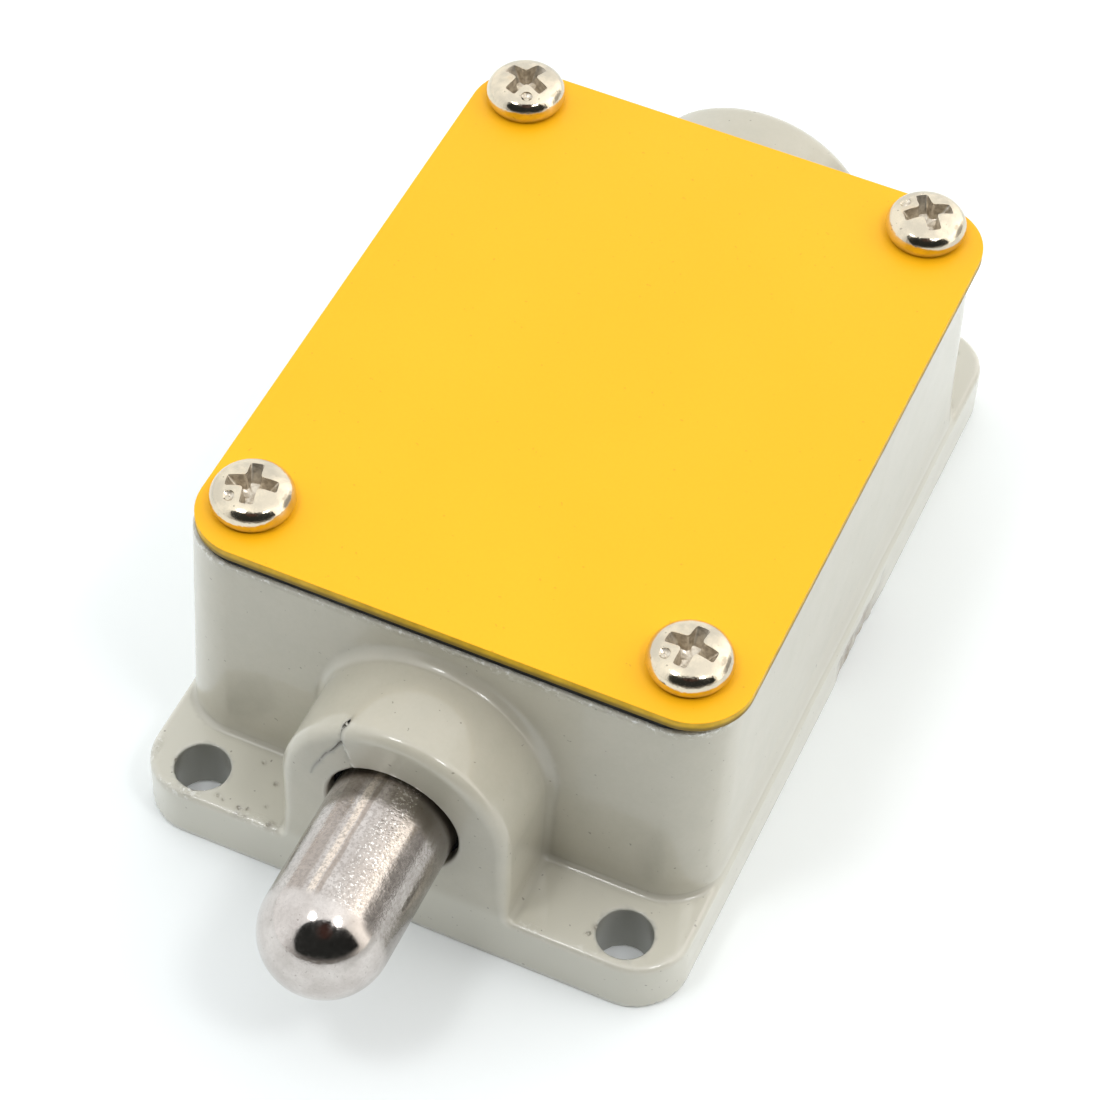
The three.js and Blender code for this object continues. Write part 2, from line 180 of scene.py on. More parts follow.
def soften(piece, width, segments=3, angle=28.0):
    """Rounds a piece's real edges and evens out the shading over them."""
    bevel = piece.modifiers.new("bevel", "BEVEL")
    bevel.width = width * MM
    bevel.segments = segments
    bevel.limit_method = "ANGLE"
    bevel.angle_limit = math.radians(angle)
    bevel.harden_normals = False
    return smooth_shading(piece)


def smooth_shading(piece):
    for polygon in piece.data.polygons:
        polygon.use_smooth = True
    weighted = piece.modifiers.new("normals", "WEIGHTED_NORMAL")
    weighted.keep_sharp = False
    weighted.weight = 80
    return apply_modifiers(piece)


def with_fillets(outline, closed, steps=4):
    """Rounds each corner [a, b, radius] of an outline. A corner with no radius stays sharp."""
    points = [np.array(corner[:2], float) for corner in outline]
    radii = [corner[2] if len(corner) > 2 else 0.0 for corner in outline]
    made = []
    count = len(points)
    for i, (corner, radius) in enumerate(zip(points, radii)):
        end = not closed and i in (0, count - 1)
        if radius <= 0 or end:
            made.append(corner)
            continue
        back = points[i - 1] - corner
        ahead = points[(i + 1) % count] - corner
        reach_back = min(radius, 0.49 * np.linalg.norm(back))
        reach_ahead = min(radius, 0.49 * np.linalg.norm(ahead))
        start = corner + back / np.linalg.norm(back) * reach_back
        finish = corner + ahead / np.linalg.norm(ahead) * reach_ahead
        for k in range(steps + 1):
            t = k / steps
            made.append((1 - t) ** 2 * start + 2 * t * (1 - t) * corner + t**2 * finish)
    return np.array(made)


def turned_mesh(outline, segments, closed, wobble=None):
    """Vertices and faces of an outline of (radius, height) points turned round the Z axis.

    An open outline starts and ends on the axis. wobble(angle, height, radius) may change the radius.
    """
    vertices = []
    rings = []
    for radius, height in outline:
        first = len(vertices)
        if radius < TINY:
            rings.append([first] * segments)
            vertices.append((0.0, 0.0, height))
            continue
        rings.append(list(range(first, first + segments)))
        for k in range(segments):
            angle = TAU * k / segments
            r = wobble(angle, height, radius) if wobble else radius
            vertices.append((r * math.cos(angle), r * math.sin(angle), height))
    faces = []
    for low, high in zip(rings, rings[1:] + rings[:1] * closed):
        for k in range(segments):
            following = (k + 1) % segments
            corners = (low[k], low[following], high[following], high[k])
            corners = tuple(dict.fromkeys(corners))  # a quad at the axis becomes a triangle
            if len(corners) > 2:
                faces.append(corners)
    return np.array(vertices), faces


def outward(piece):
    """Turns every face of a closed mesh outwards."""
    mesh = bmesh.new()
    mesh.from_mesh(piece.data)
    bmesh.ops.recalc_face_normals(mesh, faces=mesh.faces)
    mesh.to_mesh(piece.data)
    mesh.free()
    return piece


def turned_piece(node, outline, name=None, segments=96, closed=True, x=0.0, z=AXIS_Z):
    """Makes and finishes a piece turned round an axis along Y. Its outline's heights are Y."""
    vertices, faces = turned_mesh(with_fillets(outline, closed), segments, closed)
    placed = np.stack([vertices[:, 0] + x, vertices[:, 2], vertices[:, 1] + z], axis=1)
    piece = outward(mesh_object(name or node + "_detailed", placed, faces, material_of(node)))
    finish_piece(smooth_shading(piece), node)


def rounded_outline(half_x, half_y, radius, steps=12):
    """The corners of a rounded rectangle, anticlockwise."""
    made = []
    for quarter, (sx, sy) in enumerate([(1, 1), (-1, 1), (-1, -1), (1, -1)]):
        for k in range(steps + 1):
            angle = (quarter + k / steps) * TAU / 4
            x = sx * (half_x - radius) + radius * math.cos(angle)
            y = sy * (half_y - radius) + radius * math.sin(angle)
            made.append((x, y))
    return made


def circle(radius, segments=48, x=0.0, y=0.0):
    angles = [TAU * k / segments for k in range(segments)]
    return [(x + radius * math.cos(a), y + radius * math.sin(a)) for a in angles]


def prism(name, outline, bottom, top, material):
    """A closed solid with an outline of (x, y) points, standing from bottom to top."""
    count = len(outline)
    vertices = [(x, y, bottom) for x, y in outline] + [(x, y, top) for x, y in outline]
    faces = [tuple(reversed(range(count))), tuple(range(count, 2 * count))]
    for k in range(count):
        following = (k + 1) % count
        faces.append((k, following, count + following, count + k))
    return mesh_object(name, vertices, faces, material, smooth=False)


# ---------------------------------------------------------------- materials
class Nodes:
    """Short calls that add shader nodes. A socket takes a number, a tuple or another node's output."""

    def __init__(self, tree, place):
        self.tree = tree
        self.place = tree.nodes.new("ShaderNodeTexCoord").outputs[place]

    def link(self, value, socket):
        if isinstance(value, bpy.types.NodeSocket):
            self.tree.links.new(value, socket)
        else:
            socket.default_value = (*value, 1.0) if socket.type == "RGBA" else value

    def add(self, kind, output, sockets, **settings):
        node = self.tree.nodes.new("ShaderNode" + kind)
        for name, value in settings.items():
            setattr(node, name, value)
        for name, value in sockets.items():
            self.link(value, node.inputs[name])
        return node.outputs[output]

    def window(self, value, low, high, to_low=0.0, to_high=1.0):
        """Maps low..high to to_low..to_high with smooth, clamped ends."""
        sockets = {"Value": value, "From Min": low, "From Max": high, "To Min": to_low, "To Max": to_high}
        return self.add("MapRange", "Result", sockets, interpolation_type="SMOOTHSTEP")

    def calculate(self, operation, a, b=0.0):
        return self.add("Math", "Value", {0: a, 1: b}, operation=operation)

    def times(self, a, *factors):
        for factor in factors:
            a = self.calculate("MULTIPLY", a, factor)
        return a

    def plus(self, a, b):
        return self.calculate("ADD", a, b)

    def mix(self, share, a, b):
        """A colour between a and b."""
        return self.add("Mix", "Result", {"Factor": share, "A": a, "B": b}, data_type="RGBA")

    def part_along(self, direction):
        return self.add("VectorMath", "Value", {0: self.place, 1: direction}, operation="DOT_PRODUCT")

    def toward(self, direction, low, high):
        """Grows from 0 to 1 as the cosine of the angle to a direction grows from low to high."""
        return self.window(self.part_along(Vector(direction).normalized()), low, high)


class Finish(Nodes):
    """A material under construction, in its object's own coordinates. Its colour is built in layers."""

    def __init__(self, name, metallic=0.0, roughness=0.5, **sockets):
        self.material = bpy.data.materials.new(name)
        self.material.use_nodes = True
        super().__init__(self.material.node_tree, "Object")
        self.shader = self.tree.nodes["Principled BSDF"]
        for socket, value in {"Metallic": metallic, "Roughness": roughness, **sockets}.items():
            self.link(value, self.shader.inputs[socket.replace("_", " ")])

    def stretched(self, x, y, z):
        """Object coordinates scaled along each axis."""
        return self.add("Mapping", "Vector", {"Vector": self.place, "Scale": (x, y, z)})

    def noise(self, size, detail=3, roughness=0.5, place=None):
        """Noise whose features are about the given size, in millimetres."""
        sockets = {"Scale": 1 / (size * MM), "Detail": detail, "Roughness": roughness}
        return self.add("TexNoise", "Fac", {"Vector": place or self.place, **sockets})

    def cloud(self, size, detail, roughness, low, high, to_low=0.0, to_high=1.0):
        """Noise whose range low..high is drawn out to to_low..to_high."""
        return self.window(self.noise(size, detail, roughness), low, high, to_low, to_high)

    def component(self, axis):
        """One object coordinate, in metres."""
        return self.add("SeparateXYZ", axis, {"Vector": self.place})

    def span(self, axis, low, high, to_low=0.0, to_high=1.0):
        """A window along one axis, from low to high in millimetres."""
        return self.window(self.component(axis), low * MM, high * MM, to_low, to_high)

    def stripe(self, angle, centre, half, strength=1.0):
        """The given strength along a stripe at one angle round an axis, 0 beside it."""
        offset = self.calculate("ABSOLUTE", self.calculate("SUBTRACT", angle, centre))
        return self.window(offset, half, 0.5 * half, 0.0, strength)

    def attribute(self, name):
        return self.add("Attribute", "Fac", {}, attribute_name=name)

    def bump(self, height, strength, distance, under=None):
        """Bump of the given depth, in millimetres, on top of another bump."""
        sockets = {"Height": height, "Strength": strength, "Distance": distance * MM}
        if under:
            sockets["Normal"] = under
        return self.add("Bump", "Normal", sockets)

    def layer(self, mask, strength, tone):
        """Lays a tone over the colour so far, where the mask shows."""
        self.colour = self.mix(self.times(mask, strength), self.colour, tone)

    def done(self, roughness=None, normal=None):
        for socket, value in (("Base Color", self.colour), ("Roughness", roughness), ("Normal", normal)):
            if value is not None:
                self.link(value, self.shader.inputs[socket])
        return self.material


def painted_casting():
    """Warm grey stove enamel over a die casting, with specks, worn spots and painted light: painted shade
    in concave corners and in the fold, painted highlights on convex edges, glint highlights on rims, and
    a lighter flange.
    """
    f = Finish("painted_casting", roughness=0.3, Coat_Weight=0.7, Coat_Roughness=0.04)
    f.colour = f.mix(f.cloud(22, 2, 0.5, 0.35, 0.65), (0.478, 0.452, 0.368), (0.492, 0.466, 0.382))
    mottle = f.cloud(2.6, 4, 0.6, 0.38, 0.66)
    f.layer(mottle, 0.14, (0.36, 0.36, 0.285))
    # Painted light: the flange, fading out up the walls, is drawn lighter, standing in for light its tops
    # lack beside the walls.
    flange = f.span("Z", FLANGE.height + 2, FLANGE.height)
    f.layer(flange, 0.9, (0.58, 0.565, 0.485))
    grain = f.cloud(0.45, 4, 0.6, 0.3, 0.7)
    f.layer(grain, 0.12, (0.56, 0.54, 0.475))
    # Painted shade: darker where the surface curves inwards, in corners and junctions.
    painted_shade_in_hollows = f.window(f.attribute("curvature"), 0.0, -1.2)
    f.layer(painted_shade_in_hollows, 0.25, (0.27, 0.25, 0.20))
    # Painted highlight: lighter where the surface curves outwards, on rounded edges.
    painted_highlight_on_ridges = f.window(f.attribute("curvature"), 0.3, 2.0)
    f.layer(painted_highlight_on_ridges, 0.35, (0.62, 0.60, 0.54))
    specks = f.cloud(0.5, 1, 0.4, 0.755, 0.80)
    f.layer(specks, 0.6, (0.16, 0.14, 0.11))
    f.layer(f.attribute("bare"), 0.75, (0.255, 0.26, 0.235))
    # Painted highlights: light dashes along the top front edge and the flange's rim, where the same mask
    # also roughens the bump.
    painted_glint_highlights = f.times(f.attribute("grit_and_painted_glint"), f.cloud(0.6, 3, 0.7, 0.53, 0.62))
    f.layer(painted_glint_highlights, 0.8, (0.88, 0.88, 0.85))
    scuff = f.times(f.attribute("scuff"), f.cloud(1.2, 4, 0.6, 0.3, 0.6, 0.45, 0.95))
    f.layer(scuff, 1.0, (0.27, 0.22, 0.165))
    wear = f.times(f.attribute("wear"), f.cloud(0.7, 5, 0.65, 0.36, 0.48))
    f.layer(wear, 1.0, (0.17, 0.135, 0.10))
    # Painted shade along the fold, darkest along its middle line.
    f.layer(f.attribute("fold_painted_shade"), 0.92, (0.035, 0.032, 0.028))
    rough = f.plus(f.cloud(6.0, 2, 0.5, 0.3, 0.7, 0.29, 0.34), f.times(wear, 0.3))
    normal = f.bump(f.noise(2.2, 2), 0.10, 0.03)
    normal = f.bump(f.noise(0.3, 3, 0.6), 0.10, 0.010, normal)
    grit_and_painted_glint = f.times(f.attribute("grit_and_painted_glint"), f.noise(0.45, 3, 0.7))
    normal = f.bump(grit_and_painted_glint, 0.9, 0.30, normal)
    return f.done(rough, normal)


def cover_yellow():
    """Amber powder coat with a fine texture and a few specks."""
    f = Finish("cover_yellow", roughness=0.36, Specular_IOR_Level=0.30)
    f.colour = f.mix(f.cloud(20, 2, 0.5, 0.3, 0.7), (0.960, 0.478, 0.004), (0.975, 0.492, 0.006))
    grain = f.cloud(0.35, 3, 0.6, 0.35, 0.7)
    f.layer(grain, 0.16, (0.93, 0.43, 0.003))
    specks = f.cloud(0.5, 1, 0.4, 0.77, 0.80)
    f.layer(specks, 0.35, (0.50, 0.22, 0.006))
    normal = f.bump(f.noise(0.7, 2), 0.10, 0.03)
    normal = f.bump(f.noise(7.0, 2), 0.12, 0.06, normal)
    return f.done(f.cloud(2.4, 3, 0.5, 0.3, 0.7, 0.32, 0.42), normal)


def cover_edge():
    """The plate's faces that do not face up: a duller, darker amber, partly a thinner coat and partly
    painted shade, with a painted shadow along their foot.
    """
    f = Finish("cover_edge", roughness=0.5, Specular_IOR_Level=0.3)
    f.colour = f.mix(f.cloud(1.6, 4, 0.6, 0.35, 0.65), (0.58, 0.35, 0.008), (0.74, 0.45, 0.012))
    # Painted shadow: dark along the lowest part of the plate's edge.
    foot = f.span("Z", COVER_LOW[2] + 0.75, COVER_LOW[2] + 0.25)
    f.layer(foot, 0.85, (0.16, 0.105, 0.015))
    normal = f.bump(f.noise(0.5), 0.4, 0.05)
    return f.done(f.cloud(1.0, 3, 0.5, 0.3, 0.7, 0.45, 0.65), normal)


def metal(name, dark, light, roughness, grain, streak=None, pits=0.0, waves=0.0):
    """A bare or plated metal: cloudy tone, fine grain, and streaks along one axis if it has them."""
    f = Finish(name, metallic=1.0, roughness=roughness)
    f.colour = f.mix(f.cloud(2.6, 4, 0.6, 0.35, 0.65), dark, light)
    if pits:
        f.layer(f.cloud(0.5, 2, 0.5, 0.70, 0.76), pits, [0.35 * c for c in dark])
    rough = f.cloud(0.8, 4, 0.65, 0.3, 0.7, 0.75 * roughness, 1.3 * roughness)
    normal = f.bump(f.noise(0.22, 3, 0.6), grain, 0.02)
    if waves:
        normal = f.bump(f.noise(1.3), waves, 0.10, normal)
    if streak:
        lines = f.noise(0.35, 4, 0.6, f.stretched(*streak))
        normal = f.bump(lines, 0.15, 0.03, normal)
        rough = f.times(rough, f.window(lines, 0.3, 0.7, 0.75, 1.3))
    return f.done(rough, normal)


# Painted reflections along the pin, as bright and dark bands: the angle from its top and the half width,
# in radians, and the strength.
PAINTED_BRIGHT_REFLECTIONS = [(-0.20, 0.075, 1.0), (0.54, 0.12, 0.6)]
PAINTED_DARK_REFLECTIONS = [(-0.08, 0.045, 1.0), (-0.50, 0.20, 1.0), (0.26, 0.26, 0.45)]


def plunger_steel():
    """Plated steel: painted bright and dark reflection bands along the pin, painted shade on its right
    side, beside the mouth and on the nose, painted sparkle highlights, a grain along the pin and a
    smoother nose.
    """
    f = Finish("plunger_steel", metallic=1.0, roughness=0.12)
    tip = PLUNGER_LOW[1]
    shaft = f.span("Y", tip + 5.2, tip + 6.4)
    height = f.calculate("SUBTRACT", f.component("Z"), AXIS_Z * MM)
    wander = f.window(f.noise(0.8, 3, 0.6, f.stretched(1.0, 0.1, 1.0)), 0.2, 0.8, -0.03, 0.03)
    angle = f.plus(f.calculate("ARCTAN2", f.component("X"), height), wander)

    def stripes(rows):
        total = 0.0
        for row in rows:
            total = f.plus(total, f.stripe(angle, *row))
        return f.times(total, shaft)

    def nose_to_shaft(on_nose, on_shaft):
        return f.window(shaft, 0.0, 1.0, on_nose, on_shaft)

    f.colour = f.mix(f.cloud(2.4, 4, 0.6, 0.3, 0.7), (0.50, 0.46, 0.435), (0.61, 0.57, 0.545))
    # Painted reflections: bright bands, then dark bands, round the pin.
    f.layer(stripes(PAINTED_BRIGHT_REFLECTIONS), 0.75, (0.80, 0.72, 0.64))
    f.layer(stripes(PAINTED_DARK_REFLECTIONS), 0.55, (0.27, 0.22, 0.18))
    # Painted shade: darker on the pin's right side, beside the mouth and on the right of the nose.
    side = f.times(f.window(angle, 0.58, 0.70), f.cloud(0.8, 3, 0.5, 0.3, 0.7, 0.25, 0.5), shaft)
    mouth = f.times(f.window(angle, 0.25, 0.60), f.span("Y", FRONT_Y - 4.3, FRONT_Y - 1.3), 0.80)
    behind_tip = f.span("Y", tip + 0.9, tip + 3.9)
    nose = f.times(f.stripe(angle, 0.78, 0.40), nose_to_shaft(0.50, 0.0), behind_tip)
    shade = f.calculate("MAXIMUM", f.calculate("MAXIMUM", side, mouth), nose)
    f.layer(shade, 1.0, (0.21, 0.19, 0.17))
    speckle = f.cloud(0.34, 3, 0.7, 0.44, 0.60)
    f.layer(speckle, nose_to_shaft(0.12, 0.48), (0.27, 0.24, 0.22))
    # Painted highlights: bright sparkle in a band along the pin.
    painted_sparkle_highlights = f.times(f.cloud(0.26, 2, 0.6, 0.57, 0.64), f.stripe(angle, 0.32, 0.28), shaft)
    f.layer(painted_sparkle_highlights, 0.8, (0.98, 0.96, 0.93))
    pits = f.cloud(0.30, 2, 0.5, 0.66, 0.72)
    f.layer(pits, 0.5, (0.20, 0.17, 0.15))
    streaks = f.noise(0.35, 4, 0.65, f.stretched(1.0, 0.05, 1.0))
    rough = f.plus(f.window(streaks, 0.3, 0.7, 0.12, 0.22), nose_to_shaft(-0.05, 0.0))
    grainy = f.plus(f.cloud(2.8, 2, 0.5, 0.42, 0.62, 0.22, 0.55), f.stripe(angle, 0.34, 0.22, 0.7))
    calmer = f.span("Y", FRONT_Y - 5.3, FRONT_Y - 2.8, 1.0, 0.35)
    grainy = f.times(grainy, nose_to_shaft(0.16, 1.0), calmer)
    normal = f.bump(f.times(f.noise(0.30, 2, 0.7), grainy), 0.9, 0.07)
    normal = f.bump(f.times(streaks, shaft), 0.22, 0.03, normal)
    return f.done(rough, normal)


def screw_recess():
    """The punched recess of a plated screw: duller and darker than its head."""
    f = Finish("screw_recess", metallic=0.85, roughness=0.35)
    f.colour = f.mix(f.cloud(0.5, 4, 0.6, 0.3, 0.7), (0.46, 0.40, 0.32), (0.78, 0.72, 0.62))
    normal = f.bump(f.noise(0.3, 3, 0.6), 0.4, 0.04)
    return f.done(f.cloud(0.6, 3, 0.5, 0.3, 0.7, 0.28, 0.42), normal)


def dielectric(name, dark, light, size, roughness, bump=0.2, fibres=None, **sockets):
    """Rubber or moulded plastic: two tones in patches, a dusty grain and a fine moulded texture."""
    f = Finish(name, roughness=roughness, **sockets)
    place = f.stretched(*fibres) if fibres else None
    f.colour = f.mix(f.window(f.noise(size, 4, 0.6, place), 0.35, 0.65), dark, light)
    dust = f.cloud(0.6, 3, 0.6, 0.62, 0.74)
    f.layer(dust, 0.35, [min(1.0, 1.6 * c + 0.02) for c in light])
    normal = f.bump(f.noise(0.4, 3, 0.6, place), bump, 0.04)
    return f.done(f.cloud(1.4, 3, 0.5, 0.3, 0.7, 0.85 * roughness, 1.15 * roughness), normal)


# Each metal's darker and lighter tone, its roughness, the strength of its grain, and what else it has.
METALS = {
    "nickel_plate": ((0.57, 0.51, 0.41), (0.73, 0.645, 0.50), 0.13, 0.12, {"pits": 0.5, "waves": 0.6}),
    "spring_steel": ((0.42, 0.41, 0.40), (0.58, 0.57, 0.55), 0.20, 0.12, {}),
    "bronze": (
        (0.50, 0.30, 0.13), (0.64, 0.41, 0.19), 0.40, 0.2, {"streak": (1.0, 0.1, 1.0), "pits": 0.7},
    ),
    "brass_strip": ((0.66, 0.46, 0.17), (0.80, 0.59, 0.26), 0.19, 0.1, {"streak": (0.1, 1.0, 1.0)}),
    "silver_contact": ((0.78, 0.77, 0.75), (0.90, 0.89, 0.87), 0.20, 0.15, {"pits": 0.3}),
}
BOARD = {"bump": 0.3, "fibres": (1.0, 0.12, 1.0)}
# Each moulding's darker and lighter tone, the size of its patches, its roughness, and what else it has.
MOULDINGS = {
    "black_rubber": ((0.004, 0.004, 0.004), (0.011, 0.011, 0.010), 2.0, 0.7, {"Specular_IOR_Level": 0.2}),
    "phenolic_black": ((0.016, 0.012, 0.010), (0.032, 0.024, 0.019), 1.2, 0.4, {}),
    "carrier_moulding": ((0.56, 0.50, 0.37), (0.64, 0.58, 0.45), 5.0, 0.45, {"Subsurface_Weight": 0.05}),
    "insulating_board": ((0.20, 0.095, 0.035), (0.30, 0.155, 0.06), 0.8, 0.45, BOARD),
}
RECESS = screw_recess()
MATERIALS = {make.__name__: make() for make in (painted_casting, cover_yellow, plunger_steel)}
for kind, table in ((metal, METALS), (dielectric, MOULDINGS)):
    for slot, (*row, extras) in table.items():
        MATERIALS[slot] = kind(slot, *row, **extras)


def material_of(node):
    return MATERIALS[SLOT_OF[node]]


# ---------------------------------------------------------------- housing
def ramp(value, start, run):
    """Grows from 0 at start to 1 at start + run, and stays there."""
    return np.clip((value - start) / run, 0, 1)


def bell(distance, width):
    return np.exp(-((distance / width) ** 2))


def join(a, b, radius):
    """The union of two distance fields with a fillet of the given radius between them."""
    blend = np.hypot(np.maximum(radius - a, 0), np.maximum(radius - b, 0))
    return np.maximum(radius, np.minimum(a, b)) - blend


def overlap(a, b, radius):
    """The intersection of two distance fields with its edge rounded off."""
    blend = np.hypot(np.maximum(radius + a, 0), np.maximum(radius + b, 0))
    return np.minimum(-radius, np.maximum(a, b)) + blend


def plan_distance(x, y, half_x, half_y, corner):
    """Signed distance to a rounded rectangle that stands along Z."""
    across = np.abs(x) - half_x + corner
    along = np.abs(y) - half_y + corner
    outside = np.hypot(np.maximum(across, 0), np.maximum(along, 0))
    return outside + np.minimum(np.maximum(across, along), 0) - corner


def boss_distance(x, z, radius, centre):
    """Signed distance to a half-round boss along Y whose straight sides run down."""
    return np.hypot(x, np.maximum(z - centre, 0)) - radius


def ripple(x, y, z, wavelength, seed, waves=7):
    """A smooth random field between about -1 and 1: a sum of sine waves in seeded directions."""
    random = np.random.default_rng(seed)
    total = np.zeros_like(x)
    for _ in range(waves):
        direction = random.normal(size=3)
        direction /= np.linalg.norm(direction)
        direction *= TAU / (wavelength * random.uniform(0.7, 1.5))
        phase = random.uniform(0, TAU)
        total += np.sin(direction[0] * x + direction[1] * y + direction[2] * z + phase)
    return total / math.sqrt(waves)


THREAD = Sizes(pitch=1.41, depth=0.62, length=9.5, run_out=1.5, lead_in=1.1)


def rear_bore_distance(x, y, z):
    """The cable entry: a conduit thread cut inwards from the rear face, with a lead-in chamfer."""
    across = np.hypot(x, z - REAR_BOSS.z)
    turn = np.arctan2(z - REAR_BOSS.z, x) / TAU
    phase = np.abs(np.mod((y - REAR_Y) / THREAD.pitch - turn, 1.0) - 0.5) * 2
    fade = ramp(y, REAR_Y - THREAD.length, THREAD.run_out)
    groove = THREAD.depth * np.clip(1.5 * phase - 0.25, 0, 1) * fade
    lead_in = np.clip(y - (REAR_Y - THREAD.lead_in), 0, 2 * THREAD.lead_in)
    radius = REAR_BOSS.bore_radius + np.maximum(groove, 0.75 * lead_in)
    return overlap(across - radius, CAVITY.half_y - 2 - y, FILLET.bore_end) * 0.8


# The folds left in the skin of the casting beside the plunger's mouth: (x, y, z) along each run.
FOLDS = [
    [(-4.7, -43.0, 26.5), (-5.05, -43.6, 25.9), (-4.95, -44.1, 25.2), (-4.85, -44.2, 24.5)],
    [
        (-4.85, -44.2, 24.5), (-5.5, -44.2, 23.4), (-6.4, -44.2, 22.0), (-7.3, -44.2, 20.4),
        (-8.1, -44.2, 18.3),
    ],
]
FOLD_CORNERS = np.array([point for run in FOLDS for point in run])
# Half a fold's width, how much narrower it gets along a run, how far and how finely it wanders, how
# lengths into the metal are scaled to make it deeper than it is wide, and how far away it is measured.
FOLD = Sizes(half_width=0.18, taper=0.28, wander=0.14, wavelength=2.2, depth_scale=0.4, reach=1.5)
FAR = 99.0


def only_near(x, y, z, low, high, measure, elsewhere=FAR):
    """measure(x, y, z) between two corners, and one value everywhere else."""
    near = (x > low[0]) & (x < high[0]) & (y > low[1]) & (y < high[1]) & (z > low[2]) & (z < high[2])
    field = np.full_like(x, elsewhere)
    field[near] = measure(x[near], y[near], z[near])
    return field


def fold_distance(x, y, z):
    """Distance to the nearest fold's centre line, which wanders a little."""

    def measure(x, y, z):
        px = x + FOLD.wander * ripple(x, y, z, FOLD.wavelength, 41)
        pz = z + FOLD.wander * ripple(x, y, z, FOLD.wavelength, 42)
        closest = np.full_like(x, FAR)
        for run in FOLDS:
            for k, (start, end) in enumerate(zip(run, run[1:])):
                a = np.array(start)
                along = np.array(end) - a
                t = (px - a[0]) * along[0] + (y - a[1]) * along[1] + (pz - a[2]) * along[2]
                t = np.clip(t / (along @ along), 0, 1)
                beside = px - a[0] - t * along[0]
                inward = FOLD.depth_scale * (y - a[1] - t * along[1])
                above = pz - a[2] - t * along[2]
                gap = np.sqrt(beside**2 + inward**2 + above**2) + FOLD.taper * (k + t) / len(run)
                closest = np.minimum(closest, gap)
        return closest

    low = FOLD_CORNERS.min(axis=0) - FOLD.reach
    high = FOLD_CORNERS.max(axis=0) + FOLD.reach
    return only_near(x, y, z, low, high, measure)


# The step in the boss's front rim: a point on its line, the line's slope, its depth and its run-outs.
LAP = Sizes(x=-4.4, z=24, slope=-0.31, depth=0.30, step=0.35, fade=4.5, behind_y=-41.8, above_z=20.5)


def lap_depth(x, y, z):
    """How far the skin left of the fold lies below the skin right of it, round the boss's rim."""
    line = LAP.x + LAP.slope * (z - LAP.z)
    step = ramp(x, line, -LAP.step)
    step = step * step * (3 - 2 * step)
    fade = np.clip(1 - (line - x) / LAP.fade, 0, 1)
    return LAP.depth * step * fade * ramp(y, LAP.behind_y, -1.5) * ramp(z, LAP.above_z, 2)


# Small breaks at the rims of the mounting holes and along the front edge: a point and a radius.
CHIPS = [
    ((-24.35, -40.6, 6.3), 0.34), ((-23.5, -38.5, 6.35), 0.22), ((-21.4, -43.0, 6.3), 0.24),
    ((-16.4, -43.9, 6.35), 0.32), ((-15.6, -43.8, 6.3), 0.25), ((-12.9, -43.4, 6.5), 0.35),
    ((19.15, -40.8, 6.35), 0.38), ((18.7, -41.7, 6.3), 0.26), ((24.1, 39.3, 6.35), 0.4),
    ((-22.9, 43.0, 6.3), 0.4), ((-16.5, -43.1, 6.32), 0.27), ((-15.7, -42.9, 6.32), 0.24),
    ((-14.65, -39.2, 6.3), 0.26), ((-13.2, -43.7, 6.3), 0.30), ((-16.8, -37.5, 6.35), 0.24),
    ((-19.0, -42.7, 6.35), 0.26), ((-18.3, -42.9, 6.35), 0.22), ((-14.3, -41.9, 6.35), 0.22),
]
CHIP = Sizes(reach=2.0, roughness=0.22, wavelength=0.9, wear=0.9)
ROUGH_BASE = Sizes(from_x=26, from_y=-1.5, to_y=12.5, top=3.9, depth=0.22)


def chip_distance(x, y, z):
    """Distance to the nearest chip's rough surface: negative inside one."""
    nearest = np.full_like(x, FAR)
    for (cx, cy, cz), radius in CHIPS:

        def measure(x, y, z):
            distance = np.sqrt((x - cx) ** 2 + (y - cy) ** 2 + (z - cz) ** 2)
            return distance - radius + CHIP.roughness * radius * ripple(x, y, z, CHIP.wavelength, 31)

        spot = np.array((cx, cy, cz))
        chip = only_near(x, y, z, spot - CHIP.reach, spot + CHIP.reach, measure)
        nearest = np.minimum(nearest, chip)
    return nearest


def base_chipping(x, y, z):
    """How deeply the paint and skin are broken along the foot of the right side, from 0 to 1."""
    side, start, end, top = ROUGH_BASE.from_x, ROUGH_BASE.from_y, ROUGH_BASE.to_y, ROUGH_BASE.top

    def measure(x, y, z):
        along = ramp(y, start, 2) * ramp(y, end, -4)
        height = ramp(top - z + 0.5 * ripple(x, y, z, 4.0, 15), 0, 0.4)
        patchy = np.clip(0.9 + 0.35 * ripple(x, y, z, 1.6, 16), 0.3, 1.4)
        return along * height * ramp(x, side, 0.8) * patchy

    return only_near(x, y, z, (side - 1, start - 1, -FAR), (FAR, end + 1, top + 1.1), measure, 0.0)


def cavity_distance(x, y, z):
    """Signed distance to the space inside, which the posts, the guide and the earth post stand in."""
    cavity = plan_distance(x, y, CAVITY.half_x, CAVITY.half_y, CAVITY.corner)
    cavity = overlap(cavity, CAVITY.floor - z, FILLET.cavity_floor)
    for spot in COVER_SCREW_SPOTS:
        post = np.hypot(x - spot[0], y - spot[1])
        cavity = overlap(cavity, POST.radius - post, FILLET.post)
    guide = overlap(boss_distance(x, z, GUIDE.radius, AXIS_Z), y - GUIDE.end, FILLET.guide_end)
    cavity = overlap(cavity, -guide, FILLET.post)
    post = np.hypot(x - EARTH_SPOT[0], y - EARTH_SPOT[1])
    stub = overlap(post - EARTH_POST.radius, z - EARTH_POST.top, FILLET.earth_post_top)
    return overlap(cavity, -stub, FILLET.earth_post)


